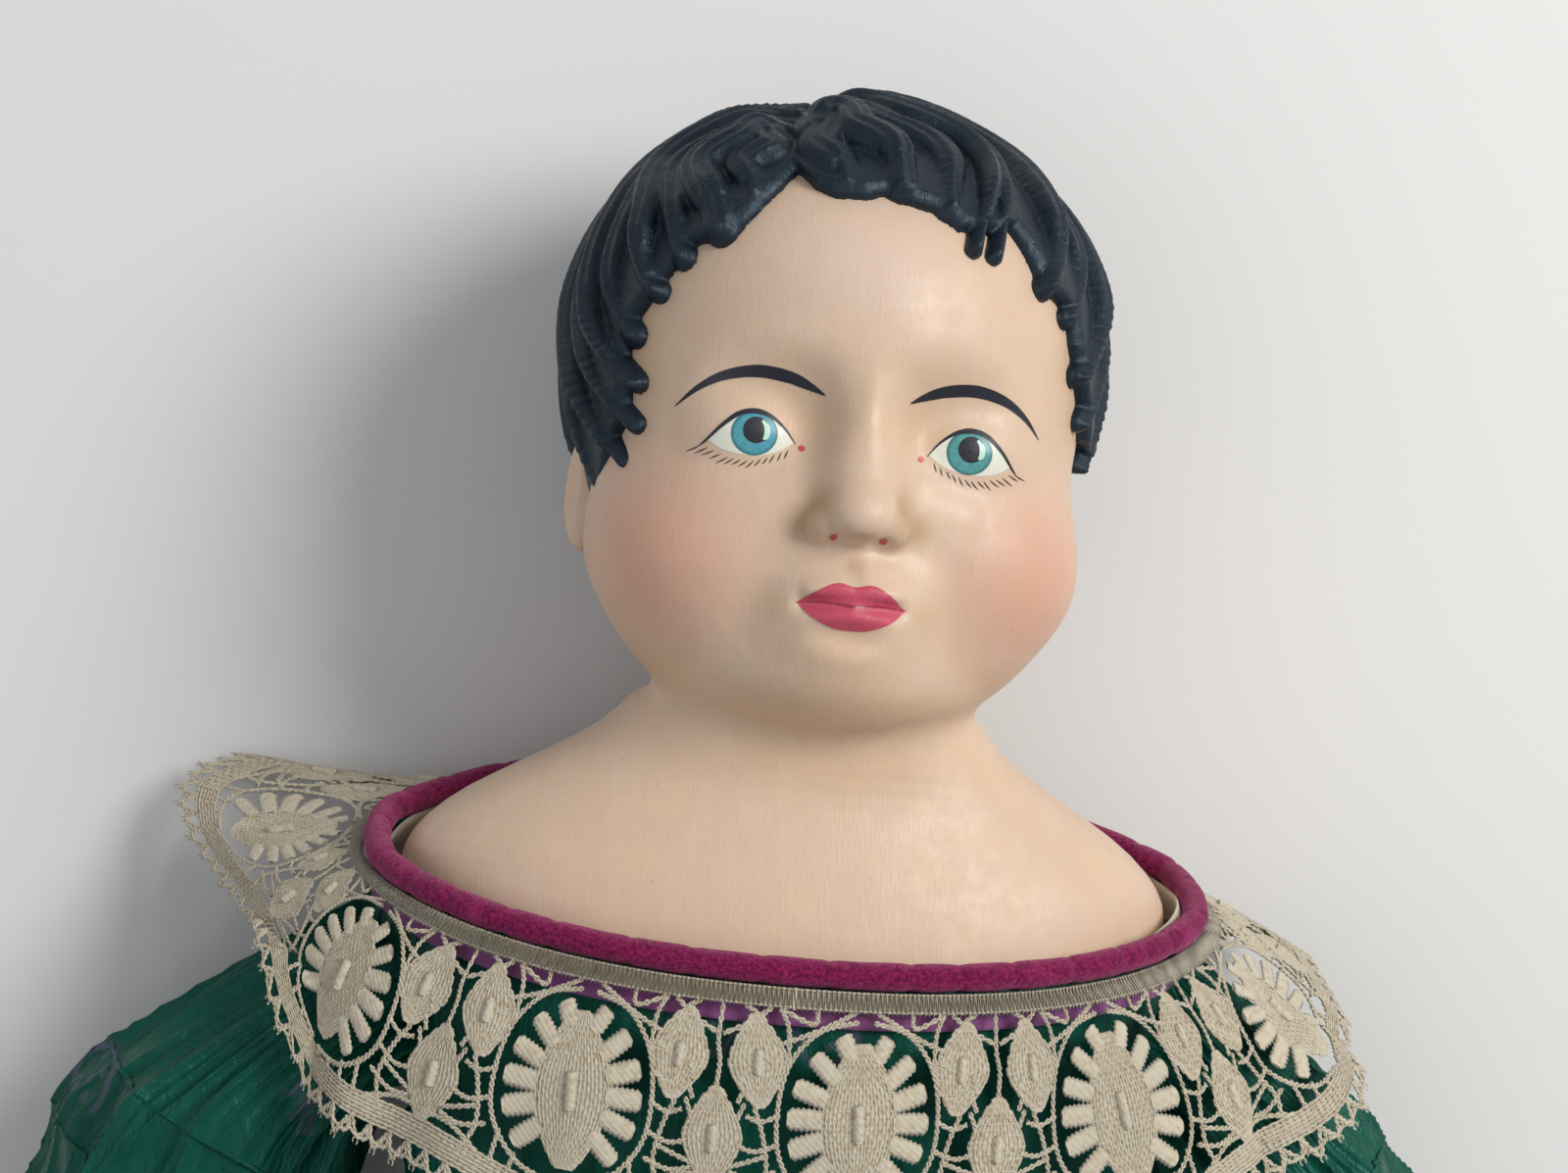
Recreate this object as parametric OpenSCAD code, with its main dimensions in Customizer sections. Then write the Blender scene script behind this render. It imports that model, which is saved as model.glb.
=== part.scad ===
// Shoulder-head doll with a stuffed cloth body, porcelain limbs and a full set of clothes.
// The doll lies on its back: +Y runs from the feet to the crown, +Z is up and is the way it faces.
// Heights on the doll are given as "down", the distance from the crown towards the feet.

/* [Doll] */
// Height from the crown to the soles
doll_height = 660; // [640:5:700]
// Widest part of the moulded hair
head_width = 101; // [90:1:106]
// Wall of the hollow head and shoulder plate
porcelain_wall = 4; // [3:0.5:5]
// Radius of the four sewing holes in the shoulder plate
sew_hole_r = 2; // [1.5:0.25:2.5]

/* [Clothes] */
// Thickness of the gown's silk as it lies, folds included
silk_thickness = 1.2; // [0.8:0.1:1.4]
// Radius of the corded velvet piping at the neckline
piping_r = 2.6; // [2:0.1:2.8]
// Depth of the lace collar from the neckline to its points
collar_depth = 46; // [36:1:50]
// Distance from the crown down to the hem of the skirt
hem_down = 575; // [540:5:585]
// Width of the skirt across its hem as it lies
hem_width = 296; // [260:2:310]

/* [Arms] */
// Angle of each arm away from the doll's side
arm_spread = 25; // [23:1:27]
// How far each arm slopes down from the shoulder to the hand on the floor
arm_slope = 10; // [8:0.5:10]
// How far the sleeve puff stands out from the arm on its outer side
puff_out = 42; // [36:1:46]

/* [Hidden] */

// Sides of the round lofts: garments and head, then limbs.
garment_sides = 32;
limb_sides = 16;
// Clearance between layers of clothing, and the thickness of plain cotton cloth.
layer_gap = 0.4;
cloth = 1;

crown = doll_height / 2;
head_half = head_width / 2;

// Where things sit, as distances down from the crown.
plate_front_down = 178;
plate_side_down = 156;
shoulder_down = 172;
waist_down = 262;
hip_down = 340;
petticoat_hem_down = hem_down - 14;
drawers_hem_down = hem_down + 16;

// Centres of the joints: across the doll and above the floor.
shoulder_z = 46;
hip_z = 42;
leg_x = 33;
arm_x = 79;

// Head: [down, half width, z at the back, z at the face]
head_sections = [
    [0, 6, 50, 62], [3, 21, 36, 78], [10, 33, 22, 93], [22, 43, 10, 102], [38, 49, 2, 107],
    [56, head_half, 0, 109], [72, 49.5, 2, 109], [86, 47, 8, 108], [98, 43.5, 15, 106],
    [107, 39, 21, 102], [113, 35.5, 25, 93], [118, 34, 25, 84]
];

// Neck, shoulder plate and the figure below it: what the clothes lie on.
figure = [
    [118, 34, 25, 84], [124, 43, 20, 82], [130, 54, 16, 81], [136, 64, 13, 82],
    [142, 73, 11, 84], [150, 76, 10, 86], [165, 74.5, 9.5, 88], [178, 71, 10, 88],
    [200, 66, 11, 86], [230, 60, 10, 80], [262, 55, 8, 76], [290, 62, 6, 80],
    [345, 66, 9, 80]
];

// Stuffed torso, ending in a flat seam that the legs hang from.
torso = [
    [138, 40, 26, 70], [146, 56, 20, 76], [156, 60, 17, 79], [170, 60, 16, 81],
    [186, 60, 15, 81], [205, 60, 14, 81], [230, 57, 13, 78], [262, 52, 11, 73],
    [288, 58, 6, 77], [302, 58, 11, 67], [338, 53, 41, 43]
];

// Upper arm along its own length: [along, half width, half depth]
arm_core = [
    [4, 5, 5], [8, 10, 10.5], [16, 13, 13], [60, 12.5, 12.5], [94, 12, 12], [112.5, 11.5, 0.9]
];
elbow_core = [[115.5, 10, 0.9], [129, 10.5, 10.5]];
forearm_core = [
    [130, 11, 11], [133, 11, 11], [135, 9.6, 9.6], [139, 9.6, 9.6], [141, 11, 11], [152, 11.5, 11],
    [174, 10, 9.5], [198, 7.6, 6.8], [206, 8.5, 6.3], [220, 12.5, 5.6], [232, 12, 4.6], [246, 6, 3.2],
    [252, 2.4, 2]
];
tie_along = 137;

// Thigh: [down, half width, z at the back, z at the front]
thigh_core = [
    [342, 22, 41, 43], [366, 24, 20, 60], [385, 24.5, 13, 64], [430, 22.5, 12, 58], [468, 19, 13, 51]
];

// Lower leg with a groove for its tie, a moulded ankle boot and its foot.
lower_leg = [
    [470, 17.5, 15, 50], [474, 17.5, 15, 50], [476, 15.5, 17, 48], [482, 15.5, 17, 48],
    [484, 17.5, 15, 50], [505, 18.5, 11, 48], [530, 17.5, 9.5, 45], [570, 13, 9, 36],
    [596, 11.4, 5.4, 31], [597, 12.6, 4.2, 32.4], [610, 12.6, 2.6, 34], [622, 13, 1.4, 41],
    [632, 14, 0.8, 53], [642, 14.8, 0.5, 65], [650, 14.6, 0.8, 69], [654, 13.4, 1.6, 68]
];
leg_tie_down = 479;
sole_down = 653.5;
foot_back = 0.6;
foot_front = 69;

// Skirt as it lies: [down, half width, z at the front], with its back flat near the floor.
hem_half = hem_width / 2;
skirt_sections = [
    [waist_down + 4, 60.5, 86], [waist_down + 16, 70, 93], [waist_down + 40, hem_half - 66, 97],
    [hip_down, hem_half - 44, 98], [hip_down + 60, hem_half - 25, 97], [hip_down + 130, hem_half - 10, 95],
    [hem_down - 40, hem_half - 3, 93], [hem_down, hem_half, 92]
];

// ---------------------------------------------------------------- lofting

function mix(a, b, t) = a + (b - a) * t;
function column(table, k) = [for (row = table) [row[0], row[k]]];
function at(down) = crown - down;

// A point round an ellipse of the given half width between two heights, squared off a little.
function oval(half, back, front, a, square = 2.2) =
    let (c = cos(a), s = sin(a), e = 2 / square)
    [half * sign(c) * pow(abs(c), e),
     (back + front) / 2 + (front - back) / 2 * sign(s) * pow(abs(s), e)];

// A point on a [down, half, back, front] table, pushed out by off and kept above the floor.
function on(table, down, a, off, x0 = 0, low = 0) =
    let (p = oval(lookup(down, column(table, 1)) + off, lookup(down, column(table, 2)) - off,
                  lookup(down, column(table, 3)) + off, a))
    [x0 + p[0], at(down), max(low, p[1])];

function ring(table, down, off, n, x0 = 0, low = 0) =
    [for (i = [0:n - 1]) on(table, down, 360 * i / n, off, x0, low)];

function rings(table, off, n, x0 = 0, low = 0) =
    [for (row = table) ring(table, row[0], off, n, x0, low)];

function side_faces(rows, n, start, flip) = [
    for (r = [0:rows - 2], i = [0:n - 1])
        let (j = (i + 1) % n, a = start + r * n + i, b = start + r * n + j, c = b + n, d = a + n)
        each (flip ? [[a, b, c], [a, c, d]] : [[a, c, b], [a, d, c]])
];

// A solid through a list of rings, with flat ends.
module loft(list) {
    n = len(list[0]);
    rows = len(list);
    top = [for (i = [0:n - 1]) i];
    bottom = [for (i = [n - 1:-1:0]) (rows - 1) * n + i];
    polyhedron([for (r = list) each r], concat([top, bottom], side_faces(rows, n, 0, false)));
}

// A wall between outer and inner rings, open at the foot, and closed at the top if asked.
module shell(outer, inner, closed_top = false) {
    n = len(outer[0]);
    rows = len(outer);
    back = rows * n;
    inner_rows = len(inner);
    end = back + (inner_rows - 1) * n;
    foot = (rows - 1) * n;
    top = closed_top
        ? [[for (i = [0:n - 1]) i], [for (i = [n - 1:-1:0]) back + i]]
        : [for (i = [0:n - 1]) let (j = (i + 1) % n) each [[i, j, back + j], [i, back + j, back + i]]];
    rim = [for (i = [0:n - 1]) let (j = (i + 1) % n)
        each [[foot + j, foot + i, end + i], [foot + j, end + i, end + j]]];
    polyhedron([for (r = concat(outer, inner)) each r],
        concat(top, rim, side_faces(rows, n, 0, false), side_faces(inner_rows, n, back, true)));
}

// A closed band: loops that run round the body and join up round their own section.
module band(loops) {
    shell_rows = len(loops);
    n = len(loops[0]);
    polyhedron([for (l = loops) each l], [
        for (r = [0:shell_rows - 1], i = [0:n - 1])
            let (j = (i + 1) % n, q = ((r + 1) % shell_rows) * n, a = r * n + i, b = r * n + j)
            each [[a, q + j, b], [a, q + i, q + j]]
    ]);
}

// Cloth that wraps the figure between two edges, as a wall between two distances off it.
module wrap(from, to, near, far, steps = 7, n = garment_sides) {
    function wall(off) = [for (k = [0:steps]) [for (i = [0:n - 1])
        let (a = 360 * i / n) on(figure, mix(from[i], to[i], k / steps), a, off, 0, 0.6)]];
    shell(wall(far), wall(near));
}

function edge(mid, tilt, n = garment_sides) = [for (i = [0:n - 1]) mid + tilt * sin(360 * i / n)];
function level(down, n = garment_sides) = edge(down, 0, n);

// ---------------------------------------------------------------- head and body

neck_mid = 145;
neck_tilt = 17;
neckline = edge(neck_mid, neck_tilt);

function squeeze(table, wall) = [for (r = table) [r[0], r[1] - wall, r[2] + wall, r[3] - wall]];

function plate_rings(off, n) = [for (k = [0:6]) [for (i = [0:n - 1])
    let (a = 360 * i / n, foot = mix(plate_side_down, plate_front_down, pow(sin(a), 2)))
    on(figure, mix(121, foot, k / 6), a, off)]];

// Sewing holes: across, down, and the height of the middle of the tape in each.
sew_holes = [for (side = [-1, 1], z = [83.3, 14.7]) [side * 26, 169, z]];

module at_sew_holes(r, length) {
    for (h = sew_holes) translate([h[0], at(h[1]), h[2]])
        cylinder(r = r, h = length, center = true, $fn = 24);
}

module shoulder_head() {
    head_outer = [for (r = head_sections) ring(head_sections, r[0], 0, garment_sides)];
    hollow = [for (r = head_sections) if (r[0] > 5) [r[0], r[1], r[2], r[3]]];
    head_inner = [for (r = hollow) ring(hollow, r[0], -porcelain_wall, garment_sides)];
    color("peachpuff") difference() {
        shell(concat(head_outer, plate_rings(-1, garment_sides)),
              concat(head_inner, plate_rings(-1 - porcelain_wall, garment_sides)), true);
        at_sew_holes(sew_hole_r, 24);
    }
}

// Four short cotton tapes, each tied through its sewing hole.
module plate_tapes() {
    color("ivory") at_sew_holes(sew_hole_r - 0.3, 5.6);
}

module torso_cover() {
    core = squeeze(torso, cloth);
    inner = [for (r = core) if (r[0] > 140 && r[0] < 330) r];
    n = garment_sides;
    color("antiquewhite") difference() {
        loft(rings(torso, 0, n));
        loft(rings(inner, 0, n));
    }
}

module torso_stuffing() {
    core = squeeze(torso, cloth + 0.2);
    color("burlywood") loft(rings([for (r = core) if (r[0] > 140 && r[0] < 330) r], 0, garment_sides));
}

// ---------------------------------------------------------------- bodice

module armholes(r) {
    for (side = [-1, 1])
        translate([side * arm_x, at(shoulder_down + 4), shoulder_z]) rotate([0, 90, 0])
            cylinder(r = r, h = 56, center = true, $fn = 48);
}

chemise_near = 1;
bodice_near = chemise_near + cloth + layer_gap;
bodice_far = bodice_near + silk_thickness;

module chemise() {
    color("ivory") difference() {
        wrap(edge(neck_mid + 4, neck_tilt), level(waist_down - 3), chemise_near, chemise_near + cloth);
        armholes(24);
    }
}

module bodice() {
    color("seagreen") difference() {
        wrap(edge(neck_mid + piping_r + 2, neck_tilt), level(waist_down - 3), bodice_near, bodice_far);
        armholes(24);
    }
}

piping_off = bodice_far + 1.9;

module neckline_piping() {
    n = 48;
    sides = 8;
    path = edge(neck_mid, neck_tilt, n);
    color("mediumvioletred") band([for (k = [0:sides - 1]) let (t = 360 * k / sides)
        [for (i = [0:n - 1])
            let (a = 360 * i / n, p = on(figure, path[i], a, piping_off + piping_r * cos(t)))
            [p[0], p[1] - piping_r * sin(t), p[2]]]]);
}

facing_near = bodice_far + layer_gap;
module neckline_facing() {
    color("mediumorchid") wrap(edge(neck_mid + piping_r + 3, neck_tilt), edge(neck_mid + 11, neck_tilt),
        facing_near, facing_near + 0.6, 1);
}

// Lace lies on the bodice at the chest and back. It stands away from the shoulders, over the sleeve
// heads, and runs nearly straight outward behind them.
collar_near = facing_near + 1;
collar_thick = 1.6;
collar_flare = 38;
module lace_collar() {
    n = 40;
    steps = 4;
    function spread(a) = pow(abs(cos(a)), 1.5);
    function fall(a) = mix(1, 0.4 + 0.9 * sin(a), spread(a));
    function sheet(off) = [for (k = [0:steps]) [for (i = [0:n - 1])
        let (a = 360 * i / n, v = k / steps, start = neck_mid + piping_r + 3.4 + neck_tilt * sin(a),
             down = start + v * collar_depth * fall(a))
        on(figure, down, a, off + v * collar_flare * spread(a), 0, 2 + off - collar_near)]];
    top = sheet(collar_near + collar_thick);
    under = sheet(collar_near);
    color("wheat") band(concat(top, [for (k = [steps:-1:0]) under[k]]));
}

module waist_ring(down, height, near, far, tint) {
    color(tint) wrap(level(down), level(down + height), near, far, 1);
}
module waistband() { waist_ring(waist_down - 6, 9, bodice_far + layer_gap, bodice_far + 2, "darkgreen"); }
module petticoat_waistband() { waist_ring(waist_down - 2, 8, 2.2, 3.6, "white"); }
module drawers_waistband() { waist_ring(waist_down + 8, 8, 0.6, 1.8, "snow"); }

// The seat of the drawers follows the body down to the hip seams.
module drawers_seat() {
    rows = [278.6, 288, 302, 330];
    color("snow") shell([for (d = rows) ring(torso, d, 1.4, garment_sides)],
        [for (d = rows) ring(torso, d, 0.6, garment_sides)]);
}

// Brass hooks that close the gown down the middle of the back.
hook_count = 5;
module back_hooks() {
    color("darkgoldenrod") for (k = [0:hook_count - 1]) {
        down = 186 + k * 16;
        back = lookup(down, column(figure, 2)) - bodice_far - 1.3;
        translate([0, at(down), back]) rotate([0, 90, 0]) cylinder(r = 0.7, h = 7, center = true, $fn = 16);
    }
}

// ---------------------------------------------------------------- skirts

skirt_table = [for (r = skirt_sections) [r[0], r[1], 0, r[2]]];
skirt_low = 0;
petticoat_low = 1.6;
petticoat_inset = 4;

// A lying skirt: its back is a flat strip on the floor, and its front arches over the legs.
function lying(table, down, a, inset, low) =
    let (half = lookup(down, column(table, 1)) - inset, high = lookup(down, column(table, 3)) - inset,
         s = sin(a), c = cos(a))
    [half * sign(c) * pow(abs(c), 0.72), at(down),
     s > 0 ? mix(12, high, pow(s, 0.72)) : mix(12, low, min(1, -s * 2.2))];

// Skirt rings follow the waist where they are gathered and lie flat further down.
function skirt_wall(from, to, waist_off, inset, low, n, steps = 9) = [for (k = [0:steps])
    let (down = mix(from, to, pow(k / steps, 1.4)), t = min(1, (down - from) / 60),
         lay = t * t * (3 - 2 * t))
        [for (i = [0:n - 1]) let (a = 360 * i / n)
            mix(on(figure, down, a, waist_off, 0, low), lying(skirt_table, down, a, inset, low), lay)]];

module skirt() {
    n = 40;
    top = waist_down + 4;
    color("seagreen") shell(skirt_wall(top, hem_down, 5.8, 0, skirt_low, n),
        skirt_wall(top, hem_down, 5.8 - silk_thickness, silk_thickness, skirt_low + silk_thickness, n));
}

petticoat_top = waist_down + 7;
petticoat_off = 3.9;
petticoat_seam = petticoat_hem_down - 12;
module petticoat() {
    n = 32;
    color("white") shell(
        skirt_wall(petticoat_top, petticoat_seam, petticoat_off, petticoat_inset, petticoat_low, n),
        skirt_wall(petticoat_top, petticoat_seam, petticoat_off - cloth, petticoat_inset + cloth,
                   petticoat_low + cloth, n));
}

module petticoat_lace() {
    n = 32;
    function wall(off) = [for (d = [petticoat_seam + 0.4, petticoat_hem_down])
        [for (i = [0:n - 1])
            lying(skirt_table, d, 360 * i / n, petticoat_inset + off, petticoat_low + off)]];
    color("snow") shell(wall(0), wall(cloth));
}

// ---------------------------------------------------------------- arms

function limb_table(core) = [for (r = core) [r[0], r[1], -r[2], r[2]]];
function limb_ring(table, along, off, n = limb_sides) = [for (i = [0:n - 1])
    let (p = oval(max(0.3, lookup(along, column(table, 1)) + off), lookup(along, column(table, 2)) - off,
                  lookup(along, column(table, 3)) + off, 360 * i / n, 2))
    [p[0], -along, p[1]]];
function limb_rings(table, off, n = limb_sides) = [for (r = table) limb_ring(table, r[0], off, n)];

// Puts an arm, drawn straight down its own -Y from the shoulder, in place on one side.
module arm_place(side) {
    translate([side * arm_x, at(shoulder_down), shoulder_z])
        rotate([arm_slope, 0, side * arm_spread]) children();
}

arm_table = limb_table(arm_core);
stuffing_rows = [for (r = arm_table)
    if (r[0] > 5 && r[0] < 100) [r[0], r[1] - cloth, r[2] + cloth, r[3] - cloth]];

// The seam that the arm turns on is a short round stub beside the torso, in line with the joint.
module shoulder_seam(side) {
    translate([side * (arm_x - 12.7), at(shoulder_down), shoulder_z]) rotate([0, 90, 0])
        cylinder(r = 4.5, h = 10, center = true, $fn = 32);
}

module upper_arm_cover(side) {
    color("antiquewhite") difference() {
        union() {
            arm_place(side) loft(limb_rings(arm_table, 0));
            shoulder_seam(side);
        }
        arm_place(side) loft(limb_rings(stuffing_rows, 0));
    }
}

module upper_arm_stuffing(side) {
    inner = [for (r = stuffing_rows) [r[0], r[1] - 0.2, r[2] + 0.2, r[3] - 0.2]];
    color("burlywood") arm_place(side) loft(limb_rings(inner, 0));
}

// The puff is full below the armhole, flat against the body, and drawn in to its band above the elbow.
// [along, inner half width, outer half width, half depth]
sleeve_sections = [
    [12, 14.5, 15, 16], [22, 18, 26, 27], [36, 20, puff_out - 4, 33], [54, 21, puff_out, 33.5],
    [72, 21, puff_out - 4, 31], [86, 19, puff_out - 14, 26], [94, 16, 19, 19], [98, 15, 15, 15]
];
sleeve_bore = 13.7;
module sleeve(side) {
    n = 24;
    puff = [for (r = sleeve_sections) [for (i = [0:n - 1])
        let (a = 360 * i / n, reach = cos(a) * side > 0 ? r[2] : r[1])
        [reach * cos(a), -r[0], r[3] * sin(a)]]];
    bore = [for (r = sleeve_sections) [for (i = [0:n - 1])
        let (a = 360 * i / n) [sleeve_bore * cos(a), -r[0], sleeve_bore * sin(a)]]];
    color("seagreen") arm_place(side) shell(puff, bore);
}

// A round cuff between two places along the arm, from its inner radius to its outer one.
module cuff(side, from, to, inner, outer, flare, tint) {
    color(tint) arm_place(side) rotate([90, 0, 0]) rotate_extrude($fn = 64)
        polygon([[inner, from], [outer, from], [outer + flare, to], [inner + flare, to]]);
}
module sleeve_band(side) { cuff(side, 98.4, 104, 13.4, 15.4, 0, "mediumvioletred"); }
module sleeve_lace(side) { cuff(side, 104.4, 121, 14.2, 15.4, 5, "wheat"); }

module elbow_cloth(side) {
    color("antiquewhite") arm_place(side) loft(limb_rings(limb_table(elbow_core), 0));
}

// Porcelain forearm with a groove for its tie, a slim wrist, closed fingers and a thumb.
thumb_core = [[205, 3.4, 3.2], [214, 3.8, 3.4], [226, 3.2, 2.8], [233, 1.2, 1]];
module forearm(side) {
    color("bisque") arm_place(side) {
        loft(limb_rings(limb_table(forearm_core), 0));
        translate([side * 47, 0, 1]) rotate([0, 0, side * -13])
            loft(limb_rings(limb_table(thumb_core), 0, 12));
    }
}

module arm_tie(side) {
    color("ivory") arm_place(side) translate([0, -tie_along, 0]) rotate([90, 0, 0])
        rotate_extrude($fn = 48) translate([10.8, 0]) circle(r = 0.9, $fn = 24);
}

// ---------------------------------------------------------------- legs

module thigh_cover(side) {
    core = [for (r = squeeze(thigh_core, cloth)) if (r[0] > 350) [min(r[0], 467), r[1], r[2], r[3]]];
    color("antiquewhite") difference() {
        loft(rings(thigh_core, 0, limb_sides, side * leg_x));
        loft(rings(core, 0, limb_sides, side * leg_x));
    }
}

module thigh_stuffing(side) {
    core = [for (r = squeeze(thigh_core, cloth + 0.2))
        if (r[0] > 350) [min(r[0], 466.8), r[1], r[2], r[3]]];
    color("burlywood") loft(rings(core, 0, limb_sides, side * leg_x));
}

// The foot stands on a sole and a heel with the arch cut out between them.
sole_half = 13;
arch_r = 10;
module sole_outline() {
    hull() {
        translate([0, foot_front - sole_half]) circle(r = sole_half, $fn = 32);
        translate([0, foot_back + sole_half - 2]) circle(r = sole_half - 2, $fn = 32);
    }
}
module lower_leg(side) {
    color("bisque") union() {
        loft(rings(lower_leg, 0, limb_sides, side * leg_x));
        translate([side * leg_x, at(doll_height), 0]) rotate([90, 0, 0]) mirror([0, 0, 1]) difference() {
            linear_extrude(doll_height - sole_down) sole_outline();
            translate([-30, foot_back + 28, 0]) rotate([0, 90, 0]) scale([0.42, 1, 1])
                cylinder(r = arch_r, h = 60, $fn = 48);
        }
    }
}

module leg_tie(side) {
    color("ivory") translate([side * leg_x, at(leg_tie_down), 32.5]) rotate([90, 0, 0])
        rotate_extrude($fn = 48) translate([16.9, 0]) circle(r = 1, $fn = 24);
}

// Drawers: a straight tube from the thigh to below the skirt, wide enough to hang free of the leg.
drawers_sections = [
    [374, 29, 8, 69], [400, 29.5, 6, 69], [430, 29, 5, 65], [500, 26, 4, 55],
    [drawers_hem_down - 18, 23, 4, 49]
];
drawers_lace_sections = [[drawers_hem_down - 17.6, 23, 4, 49], [drawers_hem_down, 24, 3.6, 48]];
module leg_tube(table, side, tint) {
    color(tint) shell(rings(table, 0, 20, side * leg_x), rings(table, -cloth, 20, side * leg_x));
}
module drawers_leg(side) { leg_tube(drawers_sections, side, "snow"); }
module drawers_lace(side) { leg_tube(drawers_lace_sections, side, "snow"); }

// ---------------------------------------------------------------- nodes

shoulder_head();
plate_tapes();
torso_cover();
torso_stuffing();
chemise();
bodice();
neckline_piping();
neckline_facing();
lace_collar();
waistband();
back_hooks();
petticoat_waistband();
drawers_waistband();
drawers_seat();
skirt();
petticoat();
petticoat_lace();

for (s = [["left_", 1], ["right_", -1]]) {
    name = s[0];
    side = s[1];
    upper_arm_cover(side);
    upper_arm_stuffing(side);
    sleeve(side);
    sleeve_band(side);
    sleeve_lace(side);
    elbow_cloth(side);
    forearm(side);
    arm_tie(side);
    thigh_cover(side);
    thigh_stuffing(side);
    drawers_leg(side);
    drawers_lace(side);
    lower_leg(side);
    leg_tie(side);
}
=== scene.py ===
import math

import bmesh
import bpy
import numpy as np
from mathutils import Matrix, Vector
from mathutils.bvhtree import BVHTree


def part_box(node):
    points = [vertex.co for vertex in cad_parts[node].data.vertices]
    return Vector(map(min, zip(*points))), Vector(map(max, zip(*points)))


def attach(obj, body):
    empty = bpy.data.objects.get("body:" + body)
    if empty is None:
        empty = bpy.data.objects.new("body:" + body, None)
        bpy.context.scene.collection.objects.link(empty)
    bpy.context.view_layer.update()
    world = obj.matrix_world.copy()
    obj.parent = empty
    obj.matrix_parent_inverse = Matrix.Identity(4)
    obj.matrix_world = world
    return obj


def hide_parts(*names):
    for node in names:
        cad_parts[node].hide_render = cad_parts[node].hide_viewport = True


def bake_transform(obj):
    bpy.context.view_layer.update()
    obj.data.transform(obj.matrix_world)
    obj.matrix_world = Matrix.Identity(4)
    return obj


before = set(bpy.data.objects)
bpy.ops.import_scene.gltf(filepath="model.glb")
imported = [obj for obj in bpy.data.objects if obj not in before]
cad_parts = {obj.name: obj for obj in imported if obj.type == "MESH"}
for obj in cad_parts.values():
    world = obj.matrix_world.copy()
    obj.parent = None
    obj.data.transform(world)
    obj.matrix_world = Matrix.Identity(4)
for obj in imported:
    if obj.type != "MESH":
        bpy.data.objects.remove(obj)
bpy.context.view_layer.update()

MM = 0.001
rng = np.random.default_rng(7)

# The doll lies on its back: +Y towards the crown, +Z the way the face looks. Shapes are worked out in
# millimetres as (x, s, z), where s is the distance down from the crown, so y = CROWN - s.
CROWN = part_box("shoulder_head")[1].y / MM


# ------------------------------------------------------------------ meshes

def to_world(points):
    """(x, s, z) in millimetres to the frame's metres."""
    p = np.array(points, float)
    p[..., 1] = CROWN - p[..., 1]
    return p * MM


def make_mesh(name, points, faces, material, uv=None):
    """A smooth object from (x, s, z) points in millimetres. Going from s to y mirrors the shape, so the
    faces are turned over."""
    mesh = bpy.data.meshes.new(name)
    flipped = [tuple(f[::-1]) for f in (faces.tolist() if hasattr(faces, "tolist") else faces)]
    mesh.from_pydata(to_world(points).tolist(), [], flipped)
    mesh.update()
    mesh.polygons.foreach_set("use_smooth", np.ones(len(mesh.polygons), bool))
    if uv is not None:
        layer = mesh.uv_layers.new(name="UVMap")
        index = np.empty(len(mesh.loops), int)
        mesh.loops.foreach_get("vertex_index", index)
        layer.data.foreach_set("uv", np.asarray(uv, np.float32)[index].ravel())
    mesh.materials.append(material)
    obj = bpy.data.objects.new(name, mesh)
    bpy.context.collection.objects.link(obj)
    return obj


def grid_faces(rows, cols, wrap_cols=False, wrap_rows=False):
    """Quads of a grid of rows x cols points, stored row by row."""
    r = np.arange(rows if wrap_rows else rows - 1)
    c = np.arange(cols if wrap_cols else cols - 1)
    r, c = np.meshgrid(r, c, indexing="ij")
    r2, c2 = (r + 1) % rows, (c + 1) % cols
    quads = np.stack([r * cols + c, r * cols + c2, r2 * cols + c2, r2 * cols + c], -1)
    return quads.reshape(-1, 4)


def grid_normals(grid, wrap_cols=False):
    """Unit normals of a grid of points."""
    if wrap_cols:
        across = np.roll(grid, -1, 1) - np.roll(grid, 1, 1)
    else:
        across = np.gradient(grid, axis=1)
    along = np.gradient(grid, axis=0)
    n = np.cross(across, along)
    return n / np.maximum(np.linalg.norm(n, axis=-1, keepdims=True), 1e-9)


def outward_normals(grid, away):
    """Normals of a grid that is closed round its columns, on the side that the vectors away point to."""
    normal = grid_normals(grid, True)
    return normal * np.sign((normal * away).sum())


def turns(count):
    """Angles evenly round a full turn."""
    return np.arange(count) * 2 * math.pi / count


def rounded(value, power):
    """A cosine or sine flattened to a squarer or rounder section."""
    return np.sign(value) * np.abs(value) ** power


def columns(table, down):
    """The other columns of a table, at distances that its first column is looked up for."""
    return [np.interp(down, table[:, 0], column) for column in table.T[1:]]


def between(grid, i, j, wrap=False):
    """A grid's value at a fractional row i and column j; wrap joins its last column to its first."""
    i0 = np.clip(i.astype(int), 0, grid.shape[0] - 2)
    j0 = np.clip(j.astype(int), 0, grid.shape[1] - (1 if wrap else 2))
    j1 = (j0 + 1) % grid.shape[1]
    u, v = i - i0, j - j0
    if grid.ndim > 2:
        u, v = u[..., None], v[..., None]
    return ((grid[i0, j0] * (1 - v) + grid[i0, j1] * v) * (1 - u)
            + (grid[i0 + 1, j0] * (1 - v) + grid[i0 + 1, j1] * v) * u)


def run_length(path):
    """How far along a path each of its points is."""
    return np.concatenate([[0], np.cumsum(np.linalg.norm(np.diff(path, axis=0), axis=1))])


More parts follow.
